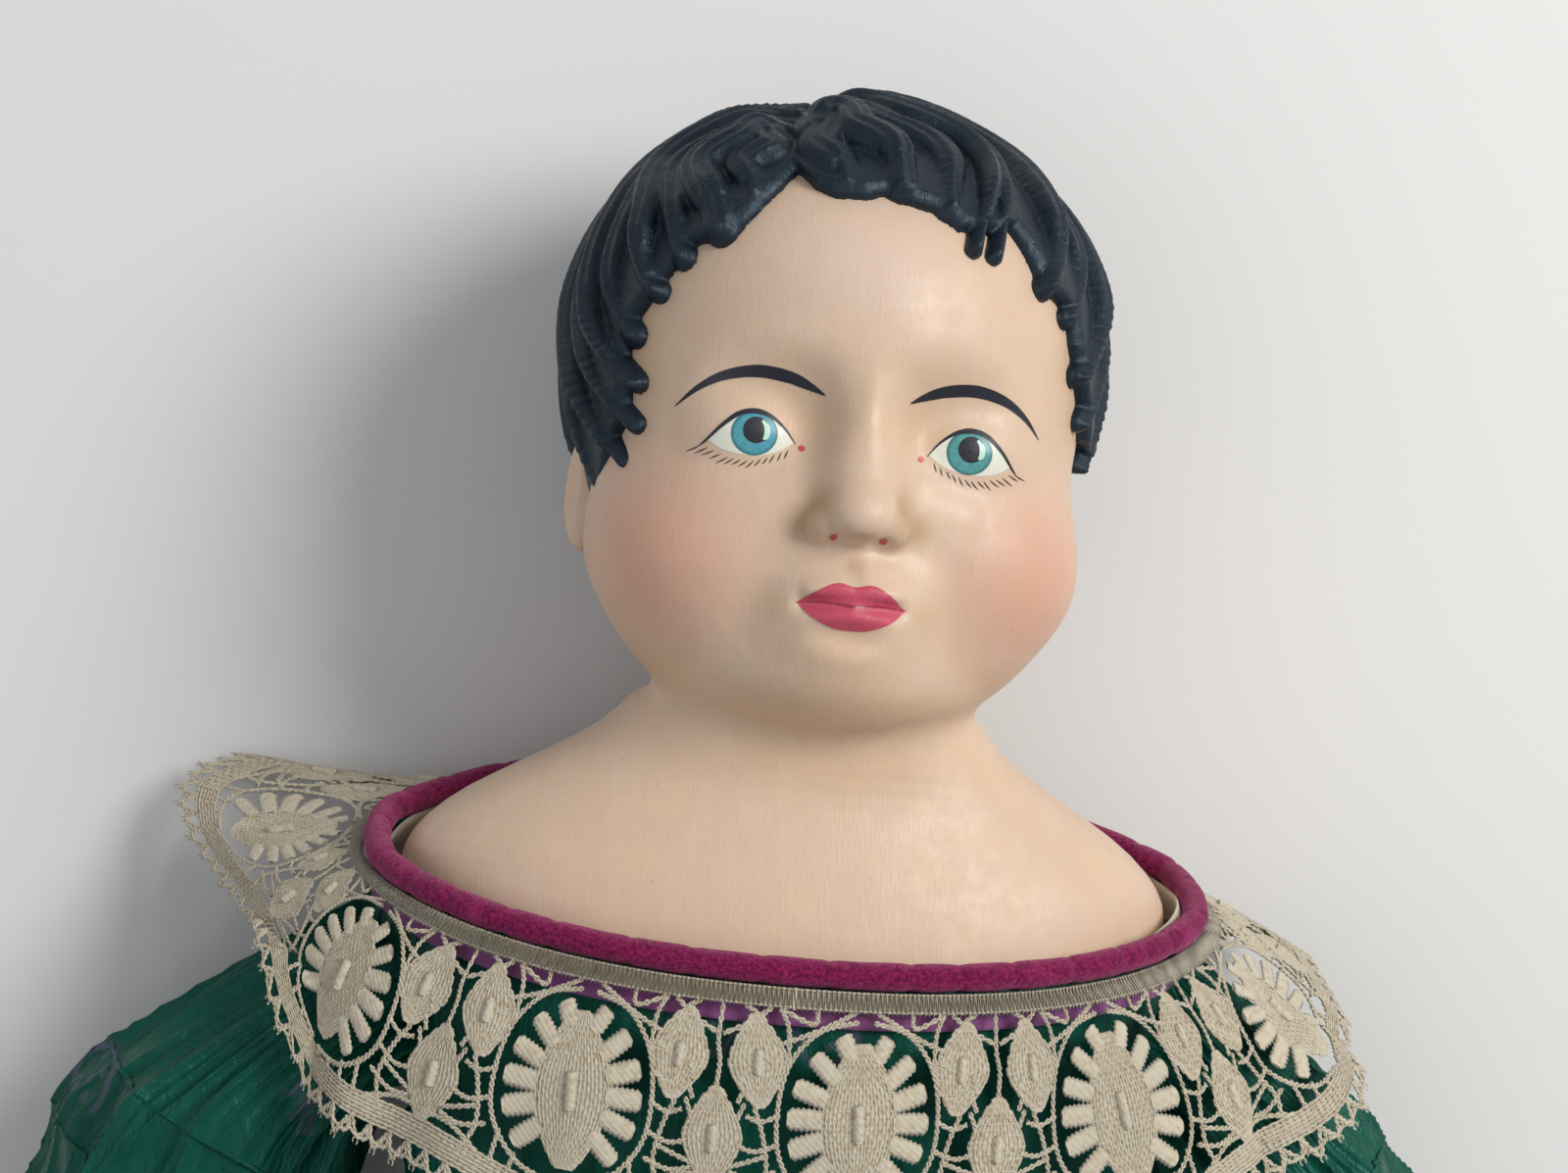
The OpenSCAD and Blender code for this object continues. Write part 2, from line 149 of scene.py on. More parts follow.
def cloth_tube(name, grid, thickness, material):
    """A closed thin cloth from a grid of rows along and columns round. The grid is its outer face."""
    rows, cols = grid.shape[:2]
    inner = grid - outward_normals(grid, grid - grid.mean(axis=(0, 1))) * thickness
    n = rows * cols
    outer_faces = grid_faces(rows, cols, True)
    inner_faces = outer_faces[:, ::-1] + n
    c = np.arange(cols)
    c2 = (c + 1) % cols
    top = np.stack([c + n, c2 + n, c2, c], -1)
    base = (rows - 1) * cols
    foot = np.stack([base + c, base + c2, base + c2 + n, base + c + n], -1)
    faces = [outer_faces, inner_faces, top, foot]
    u, v = np.meshgrid(np.linspace(0, 1, cols), np.linspace(0, 1, rows))
    uv = np.stack([u, v], -1).reshape(-1, 2)
    points = np.concatenate([grid.reshape(-1, 3), inner.reshape(-1, 3)])
    return make_mesh(name, points, np.concatenate(faces), material, uv=np.concatenate([uv, uv]))


def tube_points(path, radius, sides, closed=False, flat=1.0, up=(0, 0, 1)):
    """Points of a tube round a path. radius is a number or one for each path point; the tube is flat
    times as high as it is wide, with up across its flat side."""
    path = np.asarray(path, float)
    if closed:
        tangent = np.roll(path, -1, 0) - np.roll(path, 1, 0)
    else:
        tangent = np.gradient(path, axis=0)
    tangent /= np.maximum(np.linalg.norm(tangent, axis=1, keepdims=True), 1e-9)
    side = np.cross(tangent, np.broadcast_to(np.asarray(up, float), path.shape))
    weak = np.linalg.norm(side, axis=1) < 1e-3
    side[weak] = np.cross(tangent[weak], [1.0, 0, 0])
    side /= np.linalg.norm(side, axis=1, keepdims=True)
    lift = np.cross(side, tangent)
    a = turns(sides)
    r = np.broadcast_to(radius, len(path))[:, None, None]
    return path[:, None] + r * (side[:, None] * np.cos(a)[None, :, None]
                                + flat * lift[:, None] * np.sin(a)[None, :, None])


class Pile:
    """Gathers many small meshes into one."""

    def __init__(self):
        self.points, self.faces, self.uvs, self.count = [], [], [], 0

    def add(self, points, faces, uv=None):
        points = np.asarray(points, float).reshape(-1, 3)
        self.points.append(points)
        self.faces += [[i + self.count for i in f] for f in faces]
        self.uvs.append(np.zeros((len(points), 2)) if uv is None else np.asarray(uv).reshape(-1, 2))
        self.count += len(points)

    def tube(self, path, radius, sides, closed=False, flat=1.0):
        ring = tube_points(path, radius, sides, closed, flat)
        rows = len(ring)
        faces = grid_faces(rows, sides, True, closed).tolist()
        if not closed:
            faces += [list(range(sides))[::-1], [(rows - 1) * sides + i for i in range(sides)]]
        u, v = np.meshgrid(np.arange(sides) / sides, run_length(path))
        self.add(ring, faces, np.stack([v.ravel(), u.ravel()], -1))

    def mesh(self, name, material):
        return make_mesh(name, np.concatenate(self.points), self.faces, material, np.concatenate(self.uvs))


def smoothstep(x, lo=0.0, hi=1.0):
    t = np.clip((x - lo) / (hi - lo), 0, 1)
    return t * t * (3 - 2 * t)


def spline(points, n):
    """n points along a Catmull-Rom curve through the given ones."""
    p = np.asarray(points, float)
    p = np.concatenate([[2 * p[0] - p[1]], p, [2 * p[-1] - p[-2]]])
    t = np.linspace(0, len(p) - 3 - 1e-9, n)
    i = t.astype(int)
    f = (t - i)[:, None]
    a, b, c, d = p[i], p[i + 1], p[i + 2], p[i + 3]
    return 0.5 * (2 * b + (c - a) * f + (2 * a - 5 * b + 4 * c - d) * f ** 2
                  + (3 * b - a - 3 * c + d) * f ** 3)


# ------------------------------------------------------------------ materials

class Nodes:
    """A short way to write a procedural material."""

    def __init__(self, name, base, rough=0.6):
        self.material = bpy.data.materials.new(name)
        self.material.use_nodes = True
        self.tree = self.material.node_tree
        self.shader = self.tree.nodes["Principled BSDF"]
        self.set("Base Color", (*base, 1))
        self.set("Roughness", rough)
        self.where = self.tree.nodes.new("ShaderNodeTexCoord").outputs["Object"]
        self.uv = self.tree.nodes.new("ShaderNodeUVMap").outputs[0]

    def set(self, socket, value):
        s = self.shader.inputs[socket]
        if hasattr(value, "is_output"):
            self.tree.links.new(value, s)
        else:
            s.default_value = value

    def node(self, kind, inputs=None, **props):
        n = self.tree.nodes.new(kind)
        for k, v in props.items():
            setattr(n, k, v)
        for k, v in (inputs or {}).items():
            if hasattr(v, "is_output"):
                self.tree.links.new(v, n.inputs[k])
            else:
                n.inputs[k].default_value = v
        return n

    def scaled(self, size, where=None):
        """Coordinates stretched so that a texture repeats every size metres (one number or three)."""
        size = size if hasattr(size, "__len__") else (size,) * 3
        n = self.node("ShaderNodeVectorMath", {0: where or self.where, 1: tuple(1 / x for x in size)},
                      operation="MULTIPLY")
        return n.outputs[0]

    def noise(self, size, detail=3.0, rough=0.5, distortion=0.0):
        n = self.node("ShaderNodeTexNoise", {"Vector": self.scaled(size), "Scale": 1.0, "Detail": detail,
                                             "Roughness": rough, "Distortion": distortion})
        return n.outputs["Fac"]

    def wave(self, size, direction, distortion):
        """Bands that repeat every size metres; Blender's own bands are pi / 10 apart at scale 1."""
        n = self.node("ShaderNodeTexWave", {"Vector": self.where, "Scale": 0.314159 / size,
                                            "Distortion": distortion, "Detail": 1.0},
                      bands_direction=direction)
        return n.outputs["Fac"]

    def voronoi(self, size, where=None, feature="F1"):
        cells = self.node("ShaderNodeTexVoronoi", {"Vector": self.scaled(size, where), "Scale": 1.0},
                          feature=feature)
        return cells.outputs["Distance"]

    def math(self, op, a, b=0.0):
        return self.node("ShaderNodeMath", {0: a, 1: b}, operation=op).outputs[0]

    def remap(self, value, lo, hi, to_lo=0.0, to_hi=1.0):
        return self.node("ShaderNodeMapRange", {0: value, 1: lo, 2: hi, 3: to_lo, 4: to_hi},
                         interpolation_type="SMOOTHSTEP").outputs[0]

    def mix(self, fac, a, b):
        n = self.node("ShaderNodeMix", data_type="RGBA")
        for socket, v in zip((n.inputs[0], n.inputs[6], n.inputs[7]), (fac, a, b)):
            if hasattr(v, "is_output"):
                self.tree.links.new(v, socket)
            else:
                socket.default_value = (*v, 1) if hasattr(v, "__len__") else v
        return n.outputs[2]

    def spot(self, centre, radius):
        """1 at a centre in (x, s, z) millimetres, falling to 0 at the radius given for each axis."""
        c = to_world(centre)
        off = self.node("ShaderNodeVectorMath", {0: self.where, 1: tuple(c)}, operation="SUBTRACT").outputs[0]
        inner = self.scaled(tuple(r * MM for r in radius), off)
        length = self.node("ShaderNodeVectorMath", {0: inner}, operation="LENGTH").outputs["Value"]
        return self.remap(length, 1.0, 0.0)

    def bump(self, height, distance, strength=1.0, below=None):
        inputs = {"Height": height, "Distance": distance, "Strength": strength}
        if below is not None:
            inputs["Normal"] = below
        out = self.node("ShaderNodeBump", inputs).outputs[0]
        self.set("Normal", out)
        return out

    def sheen(self, weight, rough=0.4, tint=(1, 1, 1)):
        self.set("Sheen Weight", weight)
        self.set("Sheen Roughness", rough)
        self.set("Sheen Tint", (*tint, 1))


def weave(m, pitch, depth, strength):
    """Plain weave: waves across each other along the three axes."""
    u, v, w = (m.wave(pitch, axis, 0.4) for axis in "XYZ")
    return m.bump(m.math("MAXIMUM", m.math("MAXIMUM", u, v), w), depth, strength)


# the doll's flesh paint and the thin colours laid over it: coral blush, and ochre and brown for painted shade
# on the head
SKIN = (0.71, 0.52, 0.38)
OCHRE = (0.62, 0.41, 0.22)
SHADE = (0.42, 0.26, 0.12)
BLUSH = (0.70, 0.30, 0.21)


def bisque_material():
    """Satin hand-painted flesh: thin colour laid on with a brush, coral cheeks, painted shade in ochre and
    brown in the hollows and under the nose, lip, chin and jaw, and a paler painted highlight on the forehead.
    """
    m = Nodes("painted_bisque", SKIN, 0.42)
    patch = m.noise(0.011, 4, 0.6)
    colour = m.mix(m.remap(patch, 0.42, 0.66, 0, 0.55), SKIN, (0.76, 0.55, 0.37))
    pale = m.noise((0.004, 0.016, 0.006), 3, 0.5)
    colour = m.mix(m.remap(pale, 0.45, 0.8, 0, 0.40), colour, (0.76, 0.58, 0.47))
    brush = m.noise((0.0006, 0.012, 0.0014), 3, 0.6)
    colour = m.mix(m.remap(brush, 0.45, 0.72, 0, 0.34), colour, (0.70, 0.50, 0.33))
    # a pink tint that is also a painted highlight lightens the front of the forehead; brown and ochre painted
    # shade lies in the groove under the nose, under its tip, on its root, under the lip and the chin, and on
    # the neck
    tints_and_painted_light = [((-4, 34, 100), (30, 18, 30), 0.50, (0.78, 0.61, 0.52)),
             ((0, 88, 104), (3.4, 5, 6), 0.55, SHADE), ((0, 104, 100), (17, 9, 14), 0.40, OCHRE),
             ((0, 113, 88), (34, 9, 26), 0.55, OCHRE), ((0, 125, 68), (44, 11, 34), 0.45, OCHRE),
             ((0, 62, 101), (7, 12, 10), 0.30, OCHRE), ((0, 82.5, 107), (6, 3, 5), 0.45, SHADE)]
    # on each side: coral blush on the cheek, and painted shade in brown and ochre beside the nose and its
    # wings, in the inner eye corners, on the temples, at the mouth corners and under the jaw
    for side in (-1, 1):
        tints_and_painted_light += [((side * 31, 88, 84), (26, 25, 27), 0.74, BLUSH),
                  ((side * 7.6, 79, 102), (4.6, 8, 8), 0.70, SHADE),
                  ((side * 10.5, 81.5, 98), (4.5, 5.5, 6), 0.60, SHADE),
                  ((side * 11, 62, 98), (8, 9, 9), 0.40, OCHRE),
                  ((side * 40, 52, 76), (15, 26, 28), 0.50, OCHRE),
                  ((side * 14, 96, 98), (6, 6, 8), 0.35, OCHRE),
                  ((side * 30, 108, 74), (14, 12, 20), 0.35, OCHRE)]
    for centre, radius, strength, tint in tints_and_painted_light:
        colour = m.mix(m.math("MULTIPLY", m.spot(centre, radius), strength), colour, tint)
    specks = m.noise(0.0011, 2, 0.5)
    colour = m.mix(m.remap(specks, 0.70, 0.78, 0, 0.30), colour, (0.42, 0.25, 0.15))
    m.set("Base Color", colour)
    m.set("Roughness", m.remap(m.noise(0.004, 4, 0.6), 0.3, 0.7, 0.36, 0.52))
    m.set("Specular IOR Level", 0.42)
    m.set("Subsurface Weight", 0.10)
    m.set("Subsurface Radius", (0.004, 0.002, 0.001))
    m.set("Subsurface Scale", 0.6)
    fine = m.bump(m.noise((0.0006, 0.005, 0.0009), 3, 0.6), 0.00012, 0.55)
    m.bump(m.noise(0.0045, 3, 0.5), 0.0003, 0.4, fine)
    return m.material


def hair_material():
    """Matte black paint with a faint blue cast, dry-brushed brown in scattered rubbed spots."""
    m = Nodes("black_hair_paint", (0.008, 0.010, 0.014), 0.5)
    worn = m.remap(m.noise(0.0016, 5, 0.7), 0.62, 0.80, 0, 0.55)
    colour = m.mix(worn, (0.006, 0.010, 0.017), (0.042, 0.038, 0.034))
    haze = m.remap(m.noise(0.012, 3, 0.5), 0.45, 0.75, 0, 0.6)
    colour = m.mix(haze, colour, (0.012, 0.017, 0.030))
    m.set("Base Color", colour)
    m.set("Roughness", m.remap(m.noise(0.003, 4, 0.6), 0.3, 0.7, 0.36, 0.54))
    m.set("Specular IOR Level", 0.55)
    m.set("Specular Tint", (0.62, 0.84, 1.0, 1.0))
    fine = m.bump(m.noise((0.0007, 0.0035, 0.0007), 4, 0.7), 0.00025, 0.7)
    m.bump(m.noise(0.0022, 3, 0.6), 0.0005, 0.5, fine)
    return m.material


def paint_material(name, colour, rough=0.35, streak=0.15):
    """A thin coat of paint, a little uneven along the brush stroke."""
    m = Nodes(name, colour, rough)
    dark = tuple(c * 0.55 for c in colour)
    m.set("Base Color", m.mix(m.remap(m.noise((0.0005, 0.0016, 0.0008), 3), 0.45, 0.75, 0, streak * 3),
                              colour, dark))
    m.set("Roughness", m.remap(m.noise(0.0012, 3), 0.3, 0.7, rough - 0.06, rough + 0.1))
    m.bump(m.noise(0.0006, 2), 0.00006, 0.5)
    return m.material


def velvet_material():
    m = Nodes("maroon_velvet", (0.23, 0.012, 0.075), 0.85)
    pile = m.noise(0.0007, 4, 0.7)
    rubbed = m.noise(0.006, 3, 0.6)
    colour = m.mix(m.remap(pile, 0.35, 0.7), (0.12, 0.004, 0.038), (0.36, 0.020, 0.125))
    colour = m.mix(m.remap(rubbed, 0.55, 0.8, 0, 0.6), colour, (0.46, 0.05, 0.19))
    m.set("Base Color", colour)
    m.sheen(0.7, 0.35, (0.9, 0.35, 0.55))
    m.set("Specular IOR Level", 0.15)
    fine = m.bump(m.noise(0.0004, 3, 0.7), 0.0005, 0.9)
    m.bump(m.noise(0.0035, 2), 0.0008, 0.6, fine)
    return m.material


def silk_material():
    """Crisp dark green silk with a slub, a fine crinkle, and faint lilac scrollwork woven in."""
    m = Nodes("green_silk", (0.006, 0.070, 0.042), 0.34)
    warm = m.noise(0.03, 3, 0.5)
    colour = m.mix(m.remap(warm, 0.3, 0.75), (0.003, 0.062, 0.042), (0.005, 0.094, 0.062))
    slub = m.noise((0.0006, 0.02, 0.0006), 3, 0.6)
    colour = m.mix(m.remap(slub, 0.55, 0.8, 0, 0.4), colour, (0.010, 0.115, 0.072))
    drift = m.node("ShaderNodeTexNoise", {"Vector": m.scaled(0.012), "Scale": 1.0, "Detail": 1.0})
    drift = m.node("ShaderNodeVectorMath", {0: drift.outputs["Color"], "Scale": 0.008},
                   operation="SCALE").outputs[0]
    bend = m.node("ShaderNodeVectorMath", {0: m.where, 1: drift}, operation="ADD").outputs[0]
    ring = m.voronoi(0.030, bend)
    scroll = m.math("FRACT", m.math("MULTIPLY", ring, 3.4))
    scroll = m.remap(m.math("ABSOLUTE", m.math("SUBTRACT", scroll, 0.5)), 0.40, 0.46)
    inner = m.remap(ring, 0.36, 0.30)
    petals = m.remap(m.voronoi(0.0036, bend), 0.36, 0.26)
    figure_mask = m.math("MULTIPLY", m.math("MAXIMUM", scroll, m.math("MULTIPLY", petals, 0.8)), inner)
    where = m.remap(m.noise(0.055, 1), 0.50, 0.56)
    colour = m.mix(m.math("MULTIPLY", m.math("MULTIPLY", figure_mask, where), 0.40), colour,
                   (0.17, 0.12, 0.24))
    m.set("Base Color", colour)
    m.set("Roughness", m.remap(m.noise(0.006, 3), 0.3, 0.7, 0.28, 0.42))
    m.set("Specular IOR Level", 0.34)
    m.set("Specular Tint", (0.45, 1.0, 0.80, 1.0))
    threads = weave(m, 0.00042, 0.00006, 0.35)
    crinkle = m.bump(m.noise((0.0026, 0.0075, 0.0026), 4, 0.62, distortion=0.8), 0.0011, 0.75, threads)
    m.bump(m.voronoi((0.006, 0.014, 0.006), feature="SMOOTH_F1"), 0.0018, 0.5, crinkle)
    return m.material


def cotton_material(name, colour, pitch=0.0005, wrinkle=0.0008):
    m = Nodes(name, colour, 0.88)
    aged = tuple(c * f for c, f in zip(colour, (0.93, 0.88, 0.78)))
    m.set("Base Color", m.mix(m.remap(m.noise(0.018, 4), 0.4, 0.75), colour, aged))
    m.sheen(0.25, 0.6)
    threads = weave(m, pitch, 0.00008, 0.5)
    m.bump(m.noise((0.004, 0.010, 0.004), 4, 0.6, distortion=0.6), wrinkle, 0.6, threads)
    return m.material


def lace_material(name, colour):
    """Linen thread: fine twist along it and darker in random patches."""
    m = Nodes(name, colour, 0.8)
    deep = tuple(c * f for c, f in zip(colour, (0.72, 0.62, 0.48)))
    tone = m.mix(m.remap(m.noise(0.0012, 3), 0.4, 0.75, 0, 0.75), colour, deep)
    m.set("Base Color", m.mix(m.remap(m.noise(0.02, 2), 0.4, 0.7, 0, 0.5), tone,
                              tuple(c * 0.86 for c in colour)))
    m.sheen(0.3, 0.5)
    twist = m.bump(m.noise(0.00035, 2, 0.6), 0.00018, 0.8)
    m.bump(m.wave(0.0007, "DIAGONAL", 0.5), 0.00012, 0.5, twist)
    return m.material


def floor_material():
    m = Nodes("studio_floor", (0.80, 0.79, 0.77), 0.7)
    m.set("Base Color", m.mix(m.noise(0.5, 3), (0.79, 0.78, 0.76), (0.83, 0.82, 0.80)))
    m.bump(m.noise(0.004, 3), 0.0002, 0.2)
    return m.material


# ------------------------------------------------------------------ distance fields for the casting

def blend_min(a, b, k):
    h = np.maximum(k - np.abs(a - b), 0) / k
    return np.minimum(a, b) - h * h * k / 4


def blend_max(a, b, k):
    return -blend_min(-a, -b, k)


def ellipsoid(p, centre, radii):
    q = (p - np.array(centre, float)) / np.array(radii, float)
    k0 = np.linalg.norm(q, axis=-1)
    k1 = np.linalg.norm(q / np.array(radii, float), axis=-1)
    return k0 * (k0 - 1) / np.maximum(k1, 1e-9)


def capsule(p, a, b, ra, rb):
    a, b = np.array(a, float), np.array(b, float)
    t = np.clip(((p - a) @ (b - a)) / ((b - a) @ (b - a)), 0, 1)
    return np.linalg.norm(p - a - t[..., None] * (b - a), axis=-1) - (ra + (rb - ra) * t)


# Neck and shoulders, the same table as in the CAD model: down, half width, back, front.
FIGURE = np.array([
    [118, 34, 25, 84], [124, 43, 20, 82], [130, 54, 16, 81], [136, 64, 13, 82], [142, 73, 11, 84],
    [150, 76, 10, 86], [165, 74.5, 9.5, 88], [178, 71, 10, 88], [200, 66, 11, 86], [230, 60, 10, 80],
    [262, 55, 8, 76], [290, 62, 6, 80]
], float)
PLATE_FRONT, PLATE_SIDE = 178.0, 156.0
# wall of the hollow plate, how far the casting stays inside the table, and a sewing hole's place (x, s)
SHELL = 4.0
PLATE_INSET = 1.2
SEW_HOLE, SEW_HOLE_R = (26, 169), 2
# power of the squared ovals that limbs and body are drawn with
SQUARED = 2.2


def figure_distance(p, inset=0.0, soft=0.0):
    """Distance to the figure less an inset; soft evens its table out over so many millimetres."""
    steps = (-1, -0.5, 0, 0.5, 1) if soft else (0,)
    rows = zip(*(columns(FIGURE, p[..., 1] + soft * k) for k in steps))
    half, back, front = (sum(row) / len(steps) for row in rows)
    half, depth, middle = half - inset, (front - back) / 2 - inset, (front + back) / 2
    q = (np.abs(p[..., 0]) / half) ** SQUARED + (np.abs(p[..., 2] - middle) / depth) ** SQUARED
    return (q ** (1 / SQUARED) - 1) * np.minimum(half, depth)


def on_figure(s, angle, off, low=0.0):
    """A point round the dressed figure, as in the CAD model."""
    half, back, front = columns(FIGURE, s)
    x = (half + off) * rounded(np.cos(angle), 2 / SQUARED)
    z = (back + front) / 2 + ((front - back) / 2 + off) * rounded(np.sin(angle), 2 / SQUARED)
    return np.stack([x, s + 0 * x, np.maximum(z, low)], -1)


EYE = (19.6, 66.0)


def skull_distance(p):
    """The smooth head that the features and the hair stand on."""
    d = ellipsoid(p, (0, 50, 51.5), (47, 46, 46.5))
    d = blend_min(d, ellipsoid(p, (0, 43, 66), (38, 31, 37.5)), 12)
    return blend_min(d, ellipsoid(p, (0, 68, 65), (43, 42, 36.5)), 10)


def skin_distance(p):
    """The casting without its hair, worked out on one side and mirrored."""
    q = p.copy()
    q[..., 0] = np.abs(q[..., 0])
    d = skull_distance(q)
    d = blend_min(d, ellipsoid(q, (21.5, 86.5, 70), (24.8, 21.5, 26.5)), 9)
    d = blend_min(d, ellipsoid(q, (0, 102, 66), (33.5, 17.5, 29)), 12)
    d = blend_min(d, ellipsoid(q, (0, 103.5, 84), (15.5, 12, 18)), 8)
    d = blend_min(d, ellipsoid(q, (0, 108.5, 72), (26, 10, 24)), 6)
    d = blend_min(d, ellipsoid(q, (0, 93.5, 91), (14, 9.5, 12.5)), 8)
    # eye sockets, and the eyes bulging in them
    d = blend_max(d, -ellipsoid(q, (17.5, 63, 103.5), (14, 8.5, 7.5)), 9)
    d = blend_min(d, ellipsoid(q, (20, 65.5, 84), (12, 8.8, 13.4)), 4)
    # nose
    bridge = capsule(q, (0, 60, 96.8), (0, 76, 103.0), 4.0, 4.8)
    d = blend_min(d, bridge, 8)
    d = blend_min(d, ellipsoid(q, (0, 78.9, 104.6), (6.0, 4.9, 5.6)), 2.8)
    d = blend_min(d, ellipsoid(q, (6.3, 81.0, 100.8), (3.2, 3.4, 4.2)), 2.0)
    d = blend_max(d, -ellipsoid(q, (3.9, 84.0, 104.2), (1.9, 1.1, 2.4)), 1.2)
    # lips
    d = blend_max(d, -capsule(q, (0, 85.5, 107.3), (0, 90.3, 106.0), 1.9, 2.1), 2.0)
    d = blend_min(d, ellipsoid(q, (3.3, 93.0, 100.9), (5.6, 2.2, 3.2)), 1.6)
    d = blend_min(d, ellipsoid(q, (0, 97.1, 100.6), (6.6, 2.6, 3.3)), 1.8)
    d = blend_max(d, -capsule(q, (0, 95.0, 105.9), (9.0, 95.4, 101.6), 0.7, 0.5), 2.6)
    d = blend_max(d, -ellipsoid(q, (0, 101.3, 104.5), (7, 1.9, 2.6)), 3)
    # ear
    ear = ellipsoid(q, (44.9, 78, 48), (4.4, 11.5, 7.5))
    ear = blend_max(ear, -ellipsoid(q, (49.9, 76.5, 50), (3.6, 7.0, 4.2)), 2)
    d = blend_min(d, ear, 2.5)
    # neck and shoulder plate, flush with the tables
    neck = figure_distance(q, PLATE_INSET, 6.0)
    neck = blend_max(neck, 113 - q[..., 1], 6)
    d = blend_min(d, neck, 5)
    angle = np.arctan2(q[..., 2] - 49, q[..., 0])
    foot = PLATE_SIDE + (PLATE_FRONT - PLATE_SIDE) * np.sin(angle) ** 2
    d = blend_max(d, q[..., 1] - foot, 3)
    hollow = np.maximum(figure_distance(q, PLATE_INSET + SHELL, 6.0), 130 - q[..., 1])
    hollow = np.minimum(hollow, ellipsoid(q, (0, 60, 52), (40, 48, 42)))
    hollow = np.minimum(hollow, ellipsoid(q, (0, 118, 54), (28, 30, 24)))
    d = np.maximum(d, -hollow)
    holes = np.hypot(q[..., 0] - SEW_HOLE[0], q[..., 1] - SEW_HOLE[1]) - SEW_HOLE_R
    return np.maximum(np.maximum(d, -holes), 0.3 - q[..., 2])


def surface_nets(distance, low, high, step):
    """Closed quads of distance = 0, finely sampled only near the surface."""
    coarse_step = 4 * step
    counts = np.ceil((np.array(high) - low) / coarse_step).astype(int)
    coarse_axes = [low[k] + coarse_step * np.arange(counts[k] + 1) for k in range(3)]
    fine_axes = [low[k] + step * np.arange(counts[k] * 4 + 1) for k in range(3)]
    grid = np.stack(np.meshgrid(*coarse_axes, indexing="ij"), -1)
    coarse = distance(grid)
    value = coarse
    for axis in range(3):
        n = value.shape[axis]
        t = np.arange((n - 1) * 4 + 1) / 4
        i = np.minimum(t.astype(int), n - 2)
        f = (t - i).reshape([-1 if k == axis else 1 for k in range(3)])
        value = np.take(value, i, axis) * (1 - f) + np.take(value, i + 1, axis) * f
    near = np.argwhere(np.abs(value) < coarse_step * 1.2)
    points = np.stack([fine_axes[k][near[:, k]] for k in range(3)], -1)
    value[tuple(near.T)] = distance(points)
    shape = tuple(n - 1 for n in value.shape)
    total, count, quads = np.zeros(shape + (3,)), np.zeros(shape), []
    for axis in range(3):
        a = np.take(value, range(value.shape[axis] - 1), axis)
        b = np.take(value, range(1, value.shape[axis]), axis)
        index = np.argwhere((a < 0) != (b < 0))
        va, vb = a[tuple(index.T)], b[tuple(index.T)]
        at = index.astype(float)
        at[:, axis] += va / (va - vb)
        o1, o2 = (axis + 1) % 3, (axis + 2) % 3
        corners, ok = [], np.ones(len(index), bool)
        for d1, d2 in ((0, 0), (-1, 0), (-1, -1), (0, -1)):
            cell = index.copy()
            cell[:, o1] += d1
            cell[:, o2] += d2
            ok &= (cell >= 0).all(1) & (cell < np.array(shape)).all(1)
            corners.append(cell)
        for cell in corners:
            c = cell[ok]
            flat = np.ravel_multi_index(tuple(c.T), shape)
            for k in range(3):
                total[..., k] += np.bincount(flat, at[ok][:, k], total[..., 0].size).reshape(shape)
            count += np.bincount(flat, minlength=count.size).reshape(shape)
        ids = np.stack([np.ravel_multi_index(tuple(c[ok].T), shape) for c in corners], -1)
        turn = (va < 0)[ok]
        quads.append(np.where(turn[:, None], ids, ids[:, ::-1]))
    used = count > 0
    number = np.full(count.size, -1)
    number[used.ravel()] = np.arange(used.sum())
    vertices = total[used] / count[used][:, None] * step + np.array(low)
    return project(vertices, distance), number[np.concatenate(quads)]


def gradient(points, distance, eps=0.15):
    g = np.stack([distance(points + eps * np.eye(3)[k]) - distance(points - eps * np.eye(3)[k])
                  for k in range(3)], -1)
    return g / (2 * eps)


def project(points, distance, rounds=2):
    for _ in range(rounds):
        g = gradient(points, distance)
        points = points - distance(points)[:, None] * g / np.maximum((g * g).sum(-1, keepdims=True), 0.25)
    return points


# ------------------------------------------------------------------ moulded hair

# The hair is worked out on a flat map of the head: degrees away from the axis that the face looks along.
HAIR_CENTRE = np.array([0.0, 50.0, 50.0])
MAP_STEP, MAP_HALF = 0.5, 182.0
# millimetres to a degree on the head
DEGREE = 0.83

# Where the hair ends on the face, as (x, s), from ear to ear over the forehead.
EDGE = [(-42.5, 77), (-42.5, 70), (-41, 64.5), (-41.2, 59), (-42, 53.8), (-41.4, 47.5), (-38.4, 42),
        (-37.2, 39.6), (-34.4, 35.6), (-33.2, 33), (-26.6, 31), (-24.1, 28.4), (-21.6, 25.2),
        (-17.6, 20.8), (-14.8, 17.4), (-12.1, 20.5), (-8.5, 22), (-3.1, 22), (1.4, 20.6), (5.2, 22.3),
        (10.9, 23.5), (14.4, 26), (19.5, 26), (24.9, 24), (28.5, 28.5), (31.4, 34.2), (38.2, 38.0),
        (39.8, 44), (41.6, 50), (44.8, 60.4), (47.4, 64), (47.4, 76)]
# Below the ears the edge runs round the nape: degrees round from the top, degrees away from the axis.
NAPE = [(127, 82), (136, 104), (150, 117), (180, 124)]
